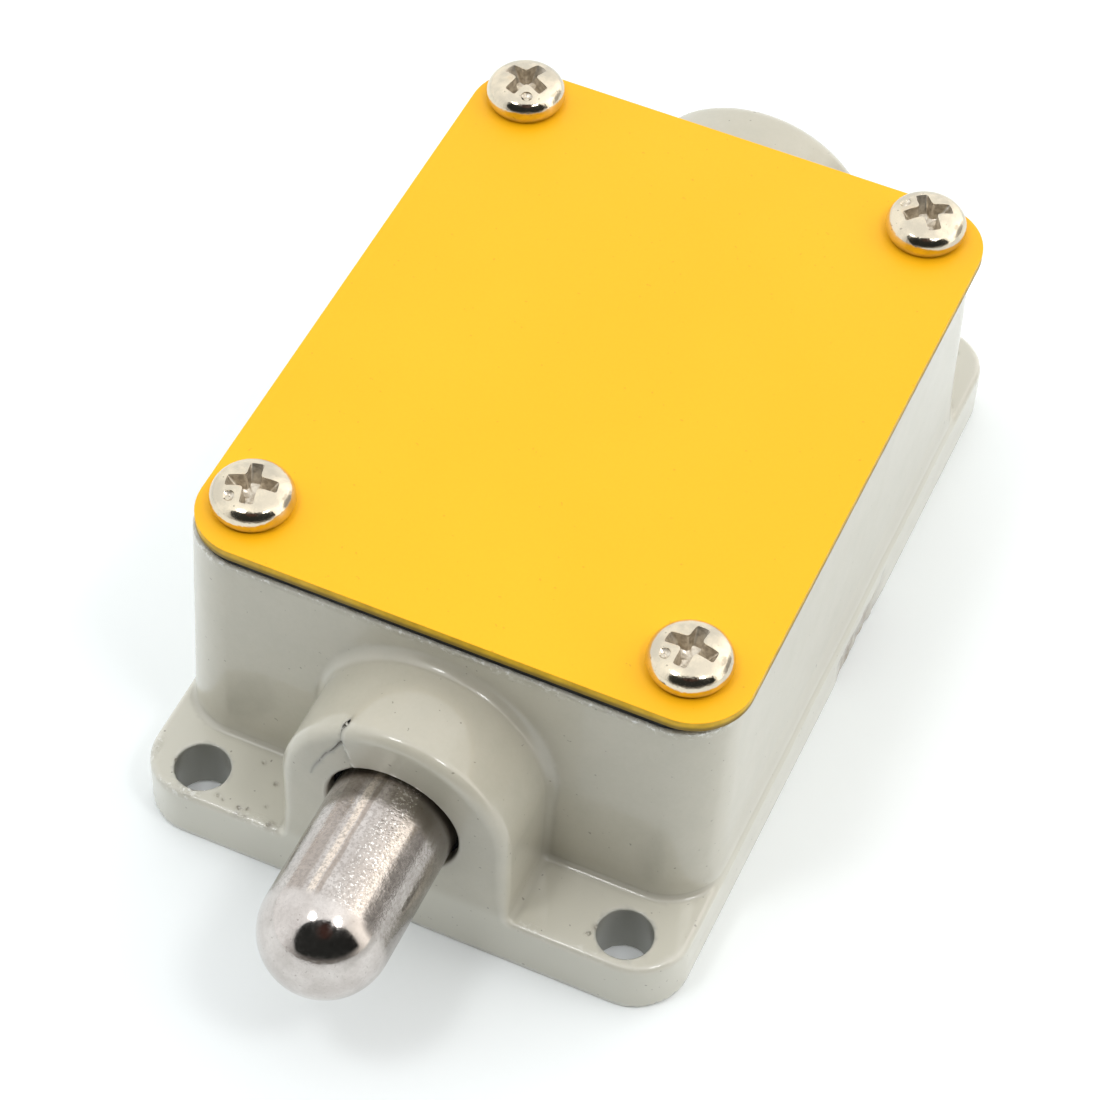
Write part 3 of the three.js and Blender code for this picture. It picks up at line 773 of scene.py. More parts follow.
def casting_distance(x, y, z):
    """Signed distance to the die casting: negative inside the metal."""
    share = ramp(z, FLANGE.height - 1, CASE_TOP_Z - FLANGE.height + 1)
    half_x = CASE.half_x + share * (CASE.top_half_x - CASE.half_x)
    half_y = CASE.half_y + share * (CASE.top_half_y - CASE.half_y)
    walls = plan_distance(x, y, half_x, half_y, CASE.corner)
    body = join(z - FLANGE.height, walls, FILLET.case_foot)
    front = overlap(boss_distance(x, z, FRONT_BOSS.radius, AXIS_Z), y, FILLET.boss_end)
    rear = overlap(boss_distance(x, z, REAR_BOSS.radius, REAR_BOSS.z), -y, FILLET.boss_end)
    body = join(body, np.minimum(front, rear), 0.7 + 0.5 * ramp(z, 8, 14))
    outline = plan_distance(x, y, FLANGE.half_x, FLANGE.half_y, FLANGE.corner)
    body = overlap(body, outline, 0.7 + 0.6 * ramp(z, 6.5, 4))
    skin = 0.022 * ripple(x, y, z, 14.0, 5) + 0.003 * ripple(x, y, z, 3.5, 6)
    body = body + ramp(z, 0, 2) * (skin + 0.03) + lap_depth(x, y, z)
    body = overlap(body, -cavity_distance(x, y, z), FILLET.cavity_rim)
    body = overlap(body, -z, FILLET.base)
    body = overlap(body, z - CASE_TOP_Z, FILLET.top)

    holes = [(spot, POST.hole_radius, POST.hole_floor, FILLET.blind_hole) for spot in COVER_SCREW_SPOTS]
    holes.append((EARTH_SPOT, EARTH_POST.hole_radius, EARTH_POST.hole_floor, FILLET.blind_hole))
    for side in (-1, 1):
        spot = (side * FIXING_SPOT[0], FIXING_SPOT[1])
        holes.append((spot, FIXING_HOLE.radius, FIXING_HOLE.floor, FILLET.fixing_hole))
    for spot, radius, floor, rim in holes:
        hole = np.hypot(x - spot[0], y - spot[1]) - radius
        body = overlap(body, -np.maximum(hole, floor - z), rim)

    bore = np.hypot(x, z - AXIS_Z)
    behind_guide = y - GUIDE.end - 1
    mouth = np.maximum(bore - FRONT_BOSS.mouth_radius, behind_guide)
    pocket_start = FRONT_Y + FRONT_BOSS.mouth_depth
    pocket = np.maximum(bore - GUIDE.pocket_radius, np.maximum(pocket_start - y, behind_guide))
    body = overlap(body, -mouth, FILLET.mouth)
    body = np.maximum(body, -pocket)
    body = overlap(body, -rear_bore_distance(x, y, z), FILLET.cable_entry)

    mount = mount_axis_distance(x, y) - MOUNT_HOLE.radius
    body = overlap(body, -mount, FILLET.mount_hole)
    body = np.maximum(body, -chip_distance(x, y, z))
    body = body + ROUGH_BASE.depth * base_chipping(x, y, z)
    return np.maximum(body, FOLD.half_width - fold_distance(x, y, z))


def mount_axis_distance(x, y):
    return np.hypot(np.abs(x) - MOUNT_HOLE.x, np.abs(y) - MOUNT_HOLE.y)


TETRAHEDRON = np.array([(1, 1, 1), (1, -1, -1), (-1, 1, -1), (-1, -1, 1)], float)


def casting_sample(points, step=0.02):
    """Unit normals at points, and how far each point is from the surface."""
    gradient = np.zeros_like(points)
    total = np.zeros(len(points))
    for corner in TETRAHEDRON:
        value = casting_distance(*(points + corner * step).T)
        gradient += value[:, None] * corner
        total += value
    gradient /= 4 * step
    length = np.maximum(np.linalg.norm(gradient, axis=1), TINY)
    return gradient / length[:, None], total / 4 / length


LONGEST_MOVE = 0.4


def settle(points, rounds):
    """Moves points onto the casting's surface, and returns them with the normals there."""
    for _ in range(rounds):
        normals, distance = casting_sample(points)
        points = points - normals * np.clip(distance, -LONGEST_MOVE, LONGEST_MOVE)[:, None]
    return points, casting_sample(points)[0]


def refine(mesh, points, normals, wanted):
    """Splits the edges that wanted(midpoints, lengths, turn) picks, and settles the new points."""
    mesh.edges.ensure_lookup_table()
    ends = np.array([(edge.verts[0].index, edge.verts[1].index) for edge in mesh.edges])
    first, second = ends.T
    middle = (points[first] + points[second]) / 2
    spans = np.linalg.norm(points[first] - points[second], axis=1)
    turn = np.degrees(np.arccos(np.clip((normals[first] * normals[second]).sum(axis=1), -1, 1)))
    edges = [mesh.edges[i] for i in np.nonzero(wanted(middle, spans, turn))[0]]
    bmesh.ops.subdivide_edges(mesh, edges=edges, cuts=1, use_grid_fill=True)
    mesh.verts.index_update()
    mesh.verts.ensure_lookup_table()
    added = np.array([vertex.co for vertex in mesh.verts[len(points):]], float)
    added, added_normals = settle(added, 2)
    return np.concatenate([points, added]), np.concatenate([normals, added_normals])


VOXEL = 0.55


def refinements():
    """Tests that pick the edges to split, by their middles p, lengths span and bends turn in degrees."""

    def seen(p):
        inner = (np.abs(p[:, 0]) < CAVITY.half_x + 0.6) & (np.abs(p[:, 1]) < CAVITY.half_y + 0.6)
        return ~(inner & (p[:, 2] > 1)) & (p[:, 2] > 0.8)

    def marked(p):
        return np.minimum(fold_distance(*p.T), chip_distance(*p.T)) < 0.7

    return [
        lambda p, span, turn: (turn > 14) & (span > 0.3) & seen(p),
        lambda p, span, turn: (turn > 16) & (span > 0.16) & seen(p) & (p[:, 1] < REAR_Y - 12),
        lambda p, span, turn: marked(p) & (span > 0.2),
        lambda p, span, turn: marked(p) & (span > 0.1),
        lambda p, span, turn: (fold_distance(*p.T) < 0.4) & (span > 0.07),
    ]


# How far from the middle the flange's rim begins to be rough and to carry painted glint highlights.
GRIT_AND_GLINT_RIM = Sizes(x=26.3, y=42.9)


def casting_masks(points, step=0.26):
    """At each point: how concave or convex the surface is, for painted shade and painted highlights; worn
    chips; the fold's painted shade; rough rims with painted glint highlights; bare hole walls; and
    scuffs.
    """
    x, y, z = points.T
    around = sum(casting_distance(*(points + corner * step).T) for corner in TETRAHEDRON)
    worn = np.zeros(len(points))
    for spot, radius in CHIPS:
        worn += CHIP.wear * bell(np.linalg.norm(points - np.array(spot), axis=1), radius)
    # The top front edge and the flange's rim get rough bumps and painted glint highlights.
    top_edge = bell(z - CASE_TOP_Z + 0.3, 0.3) * ramp(y, -30, -1)
    flange_edge = bell(z - FLANGE.height + 0.1, 0.3) * ramp(np.abs(y), 38, 2)
    beyond_rim = np.maximum(np.abs(x) - GRIT_AND_GLINT_RIM.x, np.abs(y) - GRIT_AND_GLINT_RIM.y)
    flange_edge = flange_edge * ramp(beyond_rim, 0, 0.5)
    flange_edge = flange_edge * np.clip(0.7 + ripple(x, y, z, 7.0, 52), 0, 1)
    flange_edge = flange_edge * ramp(np.abs(x), FRONT_BOSS.radius, 1)
    return {
        "curvature": around / (2 * step**2),
        "wear": np.clip(worn, 0, 1),
        "fold_painted_shade": bell(fold_distance(x, y, z), 0.26),
        "grit_and_painted_glint": np.clip(top_edge + flange_edge * np.clip(0.6 - x / 50, 0, 1), 0, 1),
        "bare": ramp(mount_axis_distance(x, y), MOUNT_HOLE.radius + 0.25, -0.2),
        "scuff": np.clip(base_chipping(x, y, z), 0, 1),
    }


def make_housing():
    """Meshes the casting's distance field, settles the points on its surface and refines its features."""
    low = HOUSING_LOW - 3 * VOXEL
    high = HOUSING_HIGH + 3 * VOXEL
    axes = [np.arange(low[k], high[k], VOXEL) for k in range(3)]
    field = casting_distance(*np.meshgrid(*axes, indexing="ij"))
    grid = openvdb.FloatGrid()
    grid.copyFromArray(field.astype(np.float32))
    grid.transform = openvdb.createLinearTransform(voxelSize=VOXEL)
    points, quads = grid.convertToQuads(isovalue=0.0)
    points, normals = settle(points.astype(float) + low, 3)

    mesh = bmesh.new()
    vertices = [mesh.verts.new(point) for point in points]
    for quad in quads:
        mesh.faces.new([vertices[i] for i in quad])
    mesh.verts.index_update()
    for wanted in refinements():
        points, normals = refine(mesh, points, normals, wanted)
    faces = [[vertex.index for vertex in face.verts] for face in mesh.faces]
    mesh.free()
    points = np.clip(points, HOUSING_LOW, HOUSING_HIGH)
    piece = mesh_object("housing_casting", points, faces, MATERIALS["painted_casting"])
    for name, values in casting_masks(points).items():
        attribute = piece.data.attributes.new(name, "FLOAT", "POINT")
        attribute.data.foreach_set("value", values.astype(np.float32))
    piece.data.normals_split_custom_set_from_vertices(normals.tolist())
    finish_piece(piece, "housing")


# ---------------------------------------------------------------- screws
def cross_outline(arm, half_width, corner=0.25):
    """A cross with rounded tips and rounded inner corners, anticlockwise."""
    inner = 1.6 * corner
    quarter = [(half_width, half_width, inner), (half_width, arm, corner), (-half_width, arm, corner)]
    corners = []
    for cosine, sine in ((1, 0), (0, 1), (-1, 0), (0, -1)):
        corners += [(cosine * a - sine * b, sine * a + cosine * b, r) for a, b, r in quarter]
    return with_fillets(corners, closed=True)


# A pan head's crown: the share of the head's radius that it covers, and its slope at its edge.
CROWN = Sizes(share=0.80, slope=math.radians(25))


def crown_height(head_radius, head_height, radius):
    """The height of a pan head's crown at a radius."""
    sphere = CROWN.share * head_radius / math.sin(CROWN.slope)
    return head_height - sphere + math.sqrt(sphere**2 - radius**2)


def head_outline(head_radius, head_height, steps=9):
    """A pan head's profile from its underside to its top: wall, tight shoulder, shallow crown."""
    edge = CROWN.share * head_radius
    shoulder = (head_radius - edge) / (1 - math.sin(CROWN.slope))
    drop = 1.2 * shoulder
    shoulder_z = crown_height(head_radius, head_height, edge) - drop * math.cos(CROWN.slope)
    made = [(head_radius - 0.30, 0.0, 0.0), (head_radius - 0.08, 0.16 * head_height, 0.0)]
    for k in range(steps + 1):
        tilt = TAU / 4 - k / steps * (TAU / 4 - CROWN.slope)
        radius = head_radius - shoulder + shoulder * math.sin(tilt)
        made.append((radius, shoulder_z + drop * math.cos(tilt), 0.0))
    for k in range(1, steps):
        radius = edge * (1 - k / steps)
        made.append((radius, crown_height(head_radius, head_height, radius), 0.0))
    made.append((0.0, head_height, 0.0))
    return made


# head: its radius and height; recess: its arm and depth; dimple: its distance from the axis and radius.
Screw = namedtuple("Screw", "head shank length recess pitch dimple", defaults=[None])
SCREW_KINDS = {
    "cover": Screw((4.0, 2.95), 1.98, 13.0, (2.5, 2.0), 0.7, (2.55, 0.6)),
    "terminal": Screw((3.2, 2.3), 1.68, 9.0, (2.0, 1.4), 0.6),
    "block": Screw((3.2, 2.3), 1.68, 23.3, (2.0, 1.4), 0.6),
    "shield": Screw((1.9, 1.4), 0.98, 8.0, (1.3, 0.9), 0.45),
    "earth": Screw((3.5, 2.3), 1.98, 6.5, (2.0, 1.4), 0.7),
}
SCREW_NODES = {
    "cover": COVER_SCREWS,
    "terminal": [f"{pair}_terminal_screw_{side}" for pair in ("nc", "no") for side in ("left", "right")],
    "block": ["block_screw_left", "block_screw_right"],
    "shield": ["shield_screw_left", "shield_screw_right"],
    "earth": ["earth_screw"],
}
COVER_SCREW_TURNS = dict(zip(COVER_SCREWS, (-166.0, 175.5, -109.5, 127.0)))
# Rings of the mesh for each turn of the thread, its longest length, the plain lengths under the head and
# at the tip, and how far it takes to run out at either end.
SHANK = Sizes(rings=6, longest=9.0, neck=0.9, tip=0.4, run_out=0.5, run_in=1.2)


def screw_body(size, material):
    """A pan-head screw at the origin: the head rests on z = 0 and the threaded shank hangs below."""
    shank, length, pitch = size.shank, size.length, size.pitch
    thread_depth = 0.55 * pitch
    threaded = min(length - SHANK.neck, SHANK.longest)
    rings = round(threaded / pitch * SHANK.rings)
    outline = [(0.0, -length, 0.0), (shank - thread_depth, -length, 0.0)]
    for k in range(rings + 1):
        outline.append((shank, -length + SHANK.tip + threaded * k / rings, 0.0))
    outline.append((shank + 0.05, 0.0, 0.0))

    def thread(angle, height, radius):
        if abs(radius - shank) > TINY:
            return radius
        phase = abs((height / pitch - angle / TAU) % 1.0 - 0.5) * 2
        from_tip = height + length
        to_neck = threaded - height - length
        fade = min(1.0, max(0.0, to_neck / SHANK.run_out), max(0.0, from_tip / SHANK.run_in))
        return shank - thread_depth * min(1.0, 1.15 * phase) * fade - 0.3 * thread_depth * (1 - fade)

    outline = with_fillets(outline + head_outline(*size.head), closed=False)
    vertices, faces = turned_mesh(outline, 48, closed=False, wobble=thread)
    return outward(mesh_object("screw_pattern", vertices, faces, material))


def recess_cutter(size, material):
    """A tapering crossed recess that ends in a point."""
    head_height = size.head[1]
    arm, depth = size.recess
    top = cross_outline(arm + 0.05, 0.25 * arm + 0.03)
    bottom = cross_outline(0.55 * arm, 0.20 * arm)
    levels = [(top * 1.06, head_height + 0.6), (top, head_height - 0.2), (bottom, head_height - depth)]
    points = [(x, y, height) for outline, height in levels for x, y in outline]
    points.append((0, 0, head_height - depth - 0.25))
    count = len(top)
    last = 2 * count
    faces = [tuple(range(count))]
    for k in range(last):
        following = k - k % count + (k + 1) % count
        faces.append((k, count + k, count + following, following))
    faces += [(last + k, 3 * count, last + (k + 1) % count) for k in range(count)]
    return outward(mesh_object("recess", points, faces, material))


def dimple_cutter(size, material):
    """The small ring that marks a punched head, between two arms of its recess."""
    reach, radius = size.dimple
    outline = [(0, -0.05), (0.45 * radius, -0.24), (radius, 0.0), (radius, 1.5), (0, 1.5)]
    vertices, faces = turned_mesh(with_fillets(outline, closed=False), 20, closed=False)
    across = reach * math.cos(TAU / 8)
    vertices = vertices + np.array([across, across, crown_height(*size.head, reach) - 0.03])
    return outward(mesh_object("dimple", vertices, faces, material))


def screw_pattern(size, material):
    piece = screw_body(size, material)
    cutters = [recess_cutter(size, material)]
    if size.dimple:
        cutters.append(dimple_cutter(size, material))
    subtract(piece, cutters)
    soften(piece, 0.10, segments=2, angle=38.0)
    piece.data.materials.append(RECESS)
    for polygon in piece.data.polygons:
        x, y, z = polygon.center / MM
        reach = math.hypot(x, y)
        inside = reach < size.recess[0] + 0.1 and z < crown_height(*size.head, reach) - 0.14
        if z > 0 and inside:
            polygon.material_index = 1
    return piece


def place_screw(node, pattern, head_height, turn):
    """A copy of a screw, with its head where the CAD screw's head is."""
    x, y, _ = node_centre(node)
    top = node_box(node)[1][2]
    piece = new_object(node + "_detailed", pattern.data)
    spot = Vector((x * MM, y * MM, (top - head_height) * MM))
    piece.matrix_world = Matrix.Translation(spot) @ Matrix.Rotation(math.radians(turn), 4, "Z")
    finish_piece(piece, node)


def make_screws():
    random = np.random.default_rng(3)
    for kind, nodes in SCREW_NODES.items():
        size = SCREW_KINDS[kind]
        pattern = screw_pattern(size, material_of(nodes[0]))
        for node in nodes:
            turn = COVER_SCREW_TURNS.get(node, random.uniform(0, 90))
            place_screw(node, pattern, size.head[1], turn)
        bpy.data.objects.remove(pattern)


# ---------------------------------------------------------------- cover and gasket
COVER = Sizes(corner=5.7, hole_radius=2.4, edge=0.48)
# About half the gasket's size, how far it lies inside the case's rim, how far its outline wanders, and
# its holes and edges.
GASKET = Sizes(
    half_x=27.0, half_y=34.0, inset=0.25, wander=0.09, wavelength=7.0, hole_radius=2.3, edge=0.15,
)


def screw_cutters(radius, segments, bottom, top, material):
    """Upright cylinders on the cover screws' axes."""
    outlines = [circle(radius, segments, x, y) for x, y, _ in COVER_SCREW_SPOTS]
    return [prism("cutter", outline, bottom, top, material) for outline in outlines]


def make_cover():
    paint = MATERIALS["cover_yellow"]
    bottom, top = COVER_LOW[2], COVER_HIGH[2]
    half = (COVER_HIGH - COVER_LOW) / 2
    centre = node_centre("cover_plate")
    outline = rounded_outline(half[0], half[1], COVER.corner, steps=16)
    outline = [(x + centre[0], y + centre[1]) for x, y in outline]
    piece = prism("cover_plate_detailed", outline, bottom, top, paint)
    piece.data.materials.append(cover_edge())
    subtract(piece, screw_cutters(COVER.hole_radius, 40, bottom - 1, top + 1, paint))
    soften(piece, COVER.edge, segments=5)
    # Faces not turned up take the darker amber with its painted shade.
    for polygon in piece.data.polygons:
        polygon.material_index = 1 if polygon.normal.z < 0.1 else 0
    finish_piece(piece, "cover_plate")


def make_gasket():
    rubber = MATERIALS["black_rubber"]
    bottom, top = node_box("cover_gasket")[0][2], node_box("cover_gasket")[1][2]
    half_x, half_y = CASE.top_half_x, CASE.top_half_y
    outline = rounded_outline(half_x - GASKET.inset, half_y - GASKET.inset, CASE.corner, steps=14)
    x, y = np.array(outline).T
    shift = GASKET.wander * ripple(x, y, np.zeros_like(x), GASKET.wavelength, 21)
    outer = list(zip(x * (1 + shift / GASKET.half_x), y * (1 + shift / GASKET.half_y)))
    piece = prism("cover_gasket_detailed", outer, bottom, top, rubber)
    inner = rounded_outline(CAVITY.half_x, CAVITY.half_y, CAVITY.corner, steps=8)
    window = prism("window", inner, bottom - 1, top + 1, rubber)
    subtract(window, screw_cutters(POST.radius, 40, bottom - 2, top + 2, rubber))
    subtract(piece, [window, *screw_cutters(GASKET.hole_radius, 32, bottom - 1, top + 1, rubber)])
    soften(piece, GASKET.edge, segments=2)
    finish_piece(piece, "cover_gasket")


# ---------------------------------------------------------------- plunger and its guide
# The groove and the shoulder are places along Y.
PLUNGER = Sizes(groove=(-27.4, -26.25), groove_radius=5.2, shoulder=-25.6, spigot_radius=3.2)
NOSE_STEPS = 28


def make_plunger():
    """The pin: a round nose, a shaft with a groove for its ring, and a thin spigot for its spring."""
    radius = (PLUNGER_HIGH[0] - PLUNGER_LOW[0]) / 2
    tip, end = PLUNGER_LOW[1], PLUNGER_HIGH[1]
    groove_start, groove_end = PLUNGER.groove
    groove_radius, spigot_radius = PLUNGER.groove_radius, PLUNGER.spigot_radius
    outline = [(0.0, tip, 0.0)]
    for k in range(1, NOSE_STEPS + 1):
        angle = k / NOSE_STEPS * TAU / 4
        outline.append((radius * math.sin(angle), tip + radius * (1 - math.cos(angle)), 0.0))
    outline += [
        (radius, groove_start, 0.15), (groove_radius, groove_start, 0.12),
        (groove_radius, groove_end, 0.12), (radius, groove_end, 0.15),
        (radius, PLUNGER.shoulder, 0.2), (spigot_radius, PLUNGER.shoulder, 0.3),
        (spigot_radius, end, 0.4), (0.0, end, 0.0),
    ]
    turned_piece("plunger", outline, "plunger_pin", segments=128, closed=False)


# Inner radius, outer radius and fillet.
RINGS = {"guide_bush": (6.16, GUIDE.pocket_radius - 0.05, 0.3), "spring_seat": (3.7, 7.6, 0.15)}
RETAINING_RING = Sizes(inner=5.3, gap=math.radians(22), edge=0.12, steps=72)
SEAL_INNER = 6.16


def make_ring(node):
    (_, start, _), (_, end, _) = node_box(node)
    inner, outer, fillet = RINGS[node]
    outline = [(inner, start, fillet), (outer, start, fillet), (outer, end, fillet), (inner, end, fillet)]
    turned_piece(node, outline)


def make_retaining_ring():
    """A C-ring, cut out of sheet, with its gap below."""
    low, high = node_box("retaining_ring")
    inner, outer, gap = RETAINING_RING.inner, high[0], RETAINING_RING.gap
    angles = np.linspace(gap, TAU - gap, RETAINING_RING.steps + 1) - TAU / 4
    outline = [(outer * math.cos(angle), outer * math.sin(angle)) for angle in angles]
    outline += [(inner * math.cos(angle), inner * math.sin(angle)) for angle in reversed(angles)]
    steel = material_of("retaining_ring")
    piece = prism("retaining_ring_detailed", outline, 0.0, high[1] - low[1], steel)
    upright = Matrix.Rotation(TAU / 4, 4, "X")
    piece.data.transform(Matrix.Translation((0, high[1] * MM, AXIS_Z * MM)) @ upright)
    soften(outward(piece), RETAINING_RING.edge, segments=2)
    finish_piece(piece, "retaining_ring")


def make_seal():
    """A ring with a lip that leans in towards the pin."""
    low, high = node_box("plunger_seal")
    inner, outer, front, back = SEAL_INNER, high[0], low[1], high[1]
    outline = [
        (inner, front + 0.1, 0.1), (inner + 0.35, front, 0.2), (outer, front, 0.25), (outer, back, 0.25),
        (inner + 0.9, back, 0.25), (inner + 0.75, front + 1.4, 0.3), (inner + 0.02, front + 0.75, 0.1),
    ]
    turned_piece("plunger_seal", outline)


# The coil's radius, the wire's radius, the number of turns and of closed turns at each end.
RETURN_COIL = (5.2, 0.5, 6, 1.0)
CONTACT_COIL = (1.8, 0.35, 5, 0.75)
STEPS_PER_TURN, WIRE_STEPS = 28, 12


def make_spring(node, radius, wire, turns, closed_turns):
    """A compression spring with its end turns closed up. Returns the piece, not yet riding."""
    low, high = node_box(node)
    start, finish = low[1] + wire, high[1] - wire
    closed_rise = 2 * wire * closed_turns * 0.98
    count = round(turns * STEPS_PER_TURN)
    t = np.arange(count + 1) / STEPS_PER_TURN
    bends = [0, closed_turns, turns - closed_turns, turns]
    y = np.interp(t, bends, [start, start + closed_rise, finish - closed_rise, finish])
    around = TAU * np.arange(WIRE_STEPS) / WIRE_STEPS
    reach = radius + wire * np.cos(around)
    along = y[:, None] + wire * np.sin(around)
    x = np.outer(np.cos(TAU * t), reach)
    z = AXIS_Z + np.outer(np.sin(TAU * t), reach)
    vertices = np.stack([x, along, z], axis=2).reshape(-1, 3)
    faces = []
    for a in range(0, count * WIRE_STEPS, WIRE_STEPS):
        b = a + WIRE_STEPS
        for k in range(WIRE_STEPS):
            following = (k + 1) % WIRE_STEPS
            faces.append((a + k, b + k, b + following, a + following))
    faces.append(tuple(range(WIRE_STEPS)))
    faces.append(tuple(range(count * WIRE_STEPS, (count + 1) * WIRE_STEPS)))
    return outward(mesh_object(node + "_coil", vertices, faces, material_of(node)))


def spring_on(node, body, coil, keep=None):
    """Rides a spring on the body that holds its fixed end."""
    spring = make_spring(node, *coil)
    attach(spring, body)
    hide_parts(node)
    if keep:
        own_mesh(spring)


def make_springs():
    seat_y = node_box("spring_seat")[0][1]
    bridge_y = node_box("no_bridge")[0][1]
    spring_on("return_spring", "case", RETURN_COIL, 0.512)
    spring_on("nc_contact_spring", "nc_bridge_set", CONTACT_COIL)
    spring_on("no_contact_spring", "no_bridge_set", CONTACT_COIL, 0.483)


# ---------------------------------------------------------------- contact block
def bevelled_node(node, width, segments=2, angle=28.0):
    """A copy of a CAD node with its flat facets merged and its edges rounded."""
    mesh = bmesh.new()
    mesh.from_mesh(frame["nodes"][node].data)
    bmesh.ops.remove_doubles(mesh, verts=mesh.verts, dist=TINY)
    bmesh.ops.dissolve_limit(mesh, angle_limit=math.radians(1), verts=mesh.verts, edges=mesh.edges)
    data = bpy.data.meshes.new(node + "_detailed")
    mesh.to_mesh(data)
    mesh.free()
    if "custom_normal" in data.attributes:
        data.attributes.remove(data.attributes["custom_normal"])
    data.materials.clear()
    data.materials.append(material_of(node))
    piece = new_object(node + "_detailed", data)
    soften(piece, width, segments, angle)
    finish_piece(piece, node)


def make_contact_parts():
    bevelled_node("contact_block", 0.25, 2, 35)
    bevelled_node("contact_shield", 0.12, 2, 40)
    bevelled_node("contact_carrier", 0.3, 3)
    for pair in ("nc", "no"):
        bevelled_node(pair + "_bridge", 0.2, 3)
        for side in ("left", "right"):
            bevelled_node(f"{pair}_terminal_{side}", 0.15, 2, 40)
            bevelled_node(f"{pair}_clamp_{side}", 0.18, 2, 40)
            for kind in ("moving", "fixed"):
                make_tip(f"{pair}_{kind}_tip_{side}", domed_forward=(kind == "moving") == (pair == "no"))


def make_tip(node, domed_forward):
    """A riveted silver contact: a button whose working face is slightly crowned."""
    low, high = node_box(node)
    radius = (high[0] - low[0]) / 2
    near, far = (low[1], high[1]) if domed_forward else (high[1], low[1])
    crown = 0.18 * (far - near)
    outline = [(0.0, near, 0.0), (radius, near, 0.1), (radius, far - crown, 0.2)]
    for share in (0.75, 0.5, 0.25):
        outline.append((radius * share, far - crown * share**2, 0.0))
    outline.append((0.0, far, 0.0))
    x, _, z = node_centre(node)
    turned_piece(node, outline, node + "_button", segments=40, closed=False, x=x, z=z)


WASHER = Sizes(inner=2.2, outer=3.8)


def make_washer():
    (_, _, bottom), (_, _, top) = node_box("earth_washer")
    inner, outer = WASHER.inner, WASHER.outer
    outline = [(inner, bottom, 0.1), (outer, bottom, 0.15), (outer, top, 0.15), (inner, top, 0.1)]
    vertices, faces = turned_mesh(with_fillets(outline, True), 64, True)
    x, y, _ = node_centre("earth_washer")
    vertices = vertices + np.array([x, y, 0])
    piece = outward(mesh_object("earth_washer_detailed", vertices, faces, material_of("earth_washer")))
    finish_piece(smooth_shading(piece), "earth_washer")


# ---------------------------------------------------------------- stage
CAMERA_SPOT = Vector((78.101, -198.091, 264.580)) * MM
CAMERA_AIM = Vector((-0.24296, 0.58635, -0.77276))
CAMERA_ROLL = math.radians(2.45)
LENS, SENSOR_WIDTH = 109.518, 36.0
FLOOR_HALF = 4000.0


def make_camera():
    data = bpy.data.cameras.new("camera")
    data.lens = LENS
    data.sensor_width = SENSOR_WIDTH
    data.clip_end = 50.0
    camera = new_object("camera", data)
    aim = CAMERA_AIM.to_track_quat("-Z", "Y").to_matrix().to_4x4()
    camera.matrix_world = Matrix.Translation(CAMERA_SPOT) @ aim @ Matrix.Rotation(CAMERA_ROLL, 4, "Z")
    bpy.context.scene.camera = camera


def make_floor():
    """Pale paper, larger than any view of it."""
    corners = [(x * FLOOR_HALF, y * FLOOR_HALF, 0) for x, y in ((-1, -1), (1, -1), (1, 1), (-1, 1))]
    f = Finish("floor_paper", roughness=0.7, Emission_Strength=0.07)
    f.colour = f.mix(f.cloud(60, 3, 0.5, 0.3, 0.7), (0.86, 0.90, 0.915), (0.875, 0.91, 0.925))
    mesh_object("floor", corners, [(0, 1, 2, 3)], f.done())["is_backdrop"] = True


# The dark opening in the tent, which the plunger's nose and the screw heads reflect: the centre and
# half width of an oval, across and up, as seen along the camera's line.
OPENING = Sizes(across=(0.14, 0.82), up=(-0.24, 0.66), tilt=math.radians(18))
OPENING_TONE = (0.030, 0.032, 0.030)
SMUDGE_TONE = (0.075, 0.038, 0.030)
LEFT_TONE = (1.22, 1.24, 1.24)
PANEL_TONE = (1.28, 1.23, 1.16)
# The tent's other parts, painted in this order: a direction, the cosines of the angle to it where the
# part starts and where it is full, its strength and its tone.
TENT = [
    ((0.93, 0.1, 0.32), 0.1, 0.85, 1.0, (2.53, 2.44, 2.30)),
    ((0, 0, 1), 0.45, 0.95, 0.8, (1.36, 1.38, 1.38)),
    ((0.45, -0.89, 0.05), 0.22, 0.88, 1.0, (0.275, 0.262, 0.245)),
    ((0.81, 0.57, 0.12), 0.88, 0.98, 1.0, (0.50, 0.49, 0.47)),
]
PANELS = [(-0.487, 0.586, 0.647), (0.552, 0.586, 0.592), (-0.804, 0.586, -0.02)]


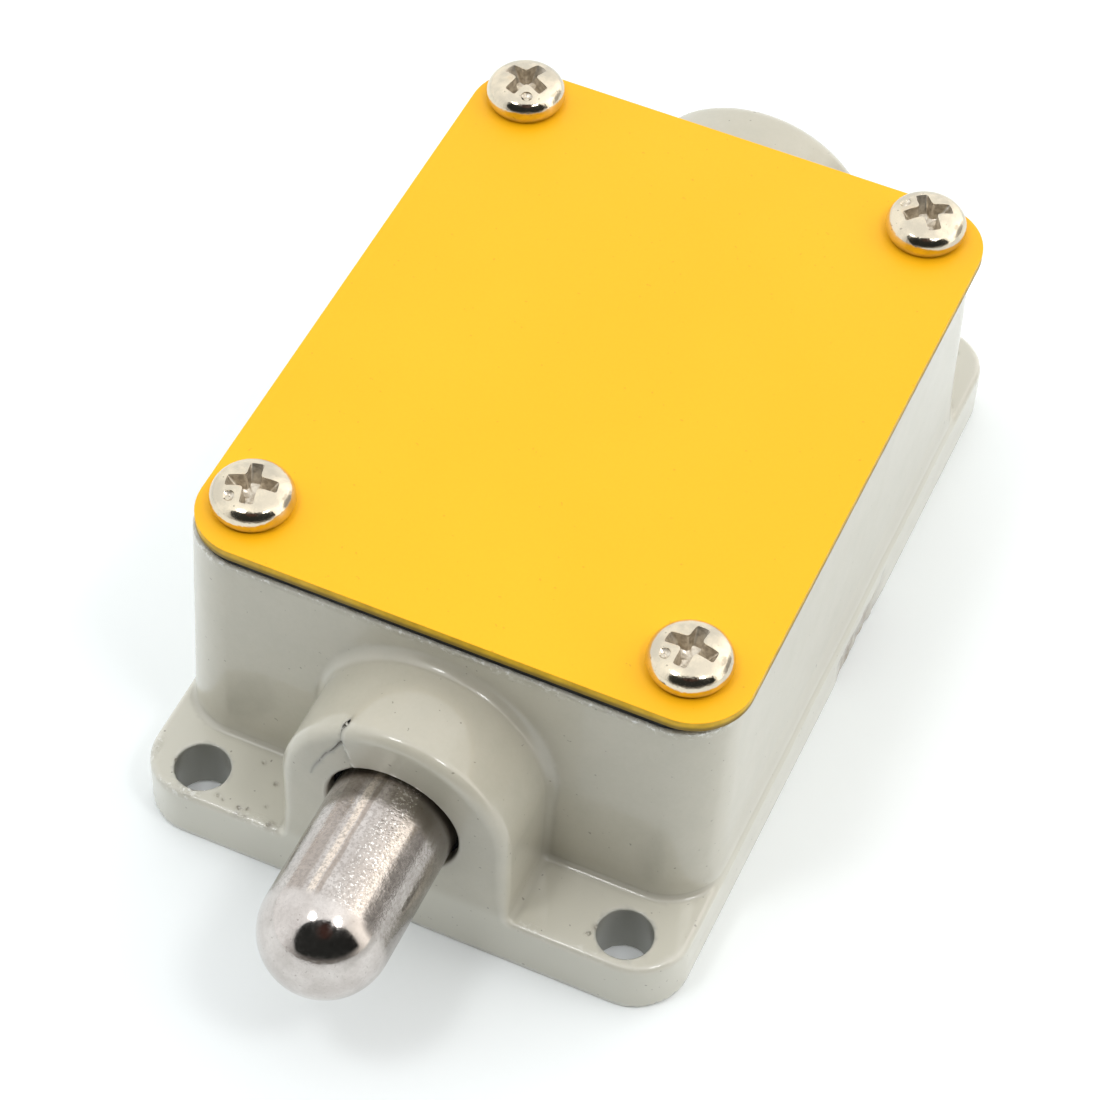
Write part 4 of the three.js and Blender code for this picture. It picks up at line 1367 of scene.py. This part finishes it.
def make_world():
    """A pale studio tent, brighter on the right, with a dark opening in front."""
    world = bpy.data.worlds.new("studio")
    bpy.context.scene.world = world
    world.use_nodes = True
    w = Nodes(world.node_tree, "Generated")
    up = Vector((0, 0, 1))

    def squared_offset(direction, centre, half):
        offset = w.calculate("DIVIDE", w.calculate("SUBTRACT", w.part_along(direction), centre), half)
        return w.times(offset, offset)

    level = Matrix.Rotation(OPENING.tilt, 3, CAMERA_AIM) @ CAMERA_AIM.cross(up).normalized()
    upright = level.cross(CAMERA_AIM)
    oval = w.plus(squared_offset(level, *OPENING.across), squared_offset(upright, *OPENING.up))
    in_front = w.toward(-CAMERA_AIM, 0.0, 0.15)
    opening = w.times(w.window(oval, 1.06, 0.94), in_front, w.toward(up, 0.06, 0.2))
    sky = LEFT_TONE
    for direction, start, full, strength, tone in TENT:
        sky = w.mix(w.times(w.toward(direction, start, full), strength), sky, tone)
    for direction in PANELS:
        sky = w.mix(w.toward(direction, 0.985, 0.992), sky, PANEL_TONE)
    smudge = w.toward(-CAMERA_AIM + 0.12 * upright, 0.955, 0.998)
    sky = w.mix(opening, sky, w.mix(smudge, OPENING_TONE, SMUDGE_TONE))
    w.link(sky, world.node_tree.nodes["Background"].inputs["Color"])


LAMPS = {"lamp_left": (-0.23, -0.26, 0.94), "lamp_right": (0.48, -0.10, 0.87)}
LAMP = Sizes(distance=600.0, size=120.0, watts=0.52)


def make_lights():
    """Two small lamps near the zenith, which give the highlights on rounded edges."""
    nose = Vector((0, PLUNGER_LOW[1], AXIS_Z)) * MM
    for name, direction in LAMPS.items():
        data = bpy.data.lights.new(name, "AREA")
        data.shape = "DISK"
        data.size = LAMP.size * MM
        data.energy = LAMP.watts
        offset = Vector(direction) * LAMP.distance * MM
        aim = (-offset).to_track_quat("-Z", "Y").to_matrix().to_4x4()
        new_object(name, data).matrix_world = Matrix.Translation(nose + offset) @ aim


bpy.context.scene.view_settings.view_transform = "Standard"
make_camera()
make_floor()
make_world()
make_lights()
make_housing()
make_cover()
make_gasket()
make_screws()
make_plunger()
make_ring("guide_bush")
make_ring("spring_seat")
make_retaining_ring()
make_seal()
make_springs()
make_contact_parts()
make_washer()

boxes = {"cad": CAD_BOX, "visual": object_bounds()}
{name: [list(map(float, corner)) for corner in box] for name, box in boxes.items()}
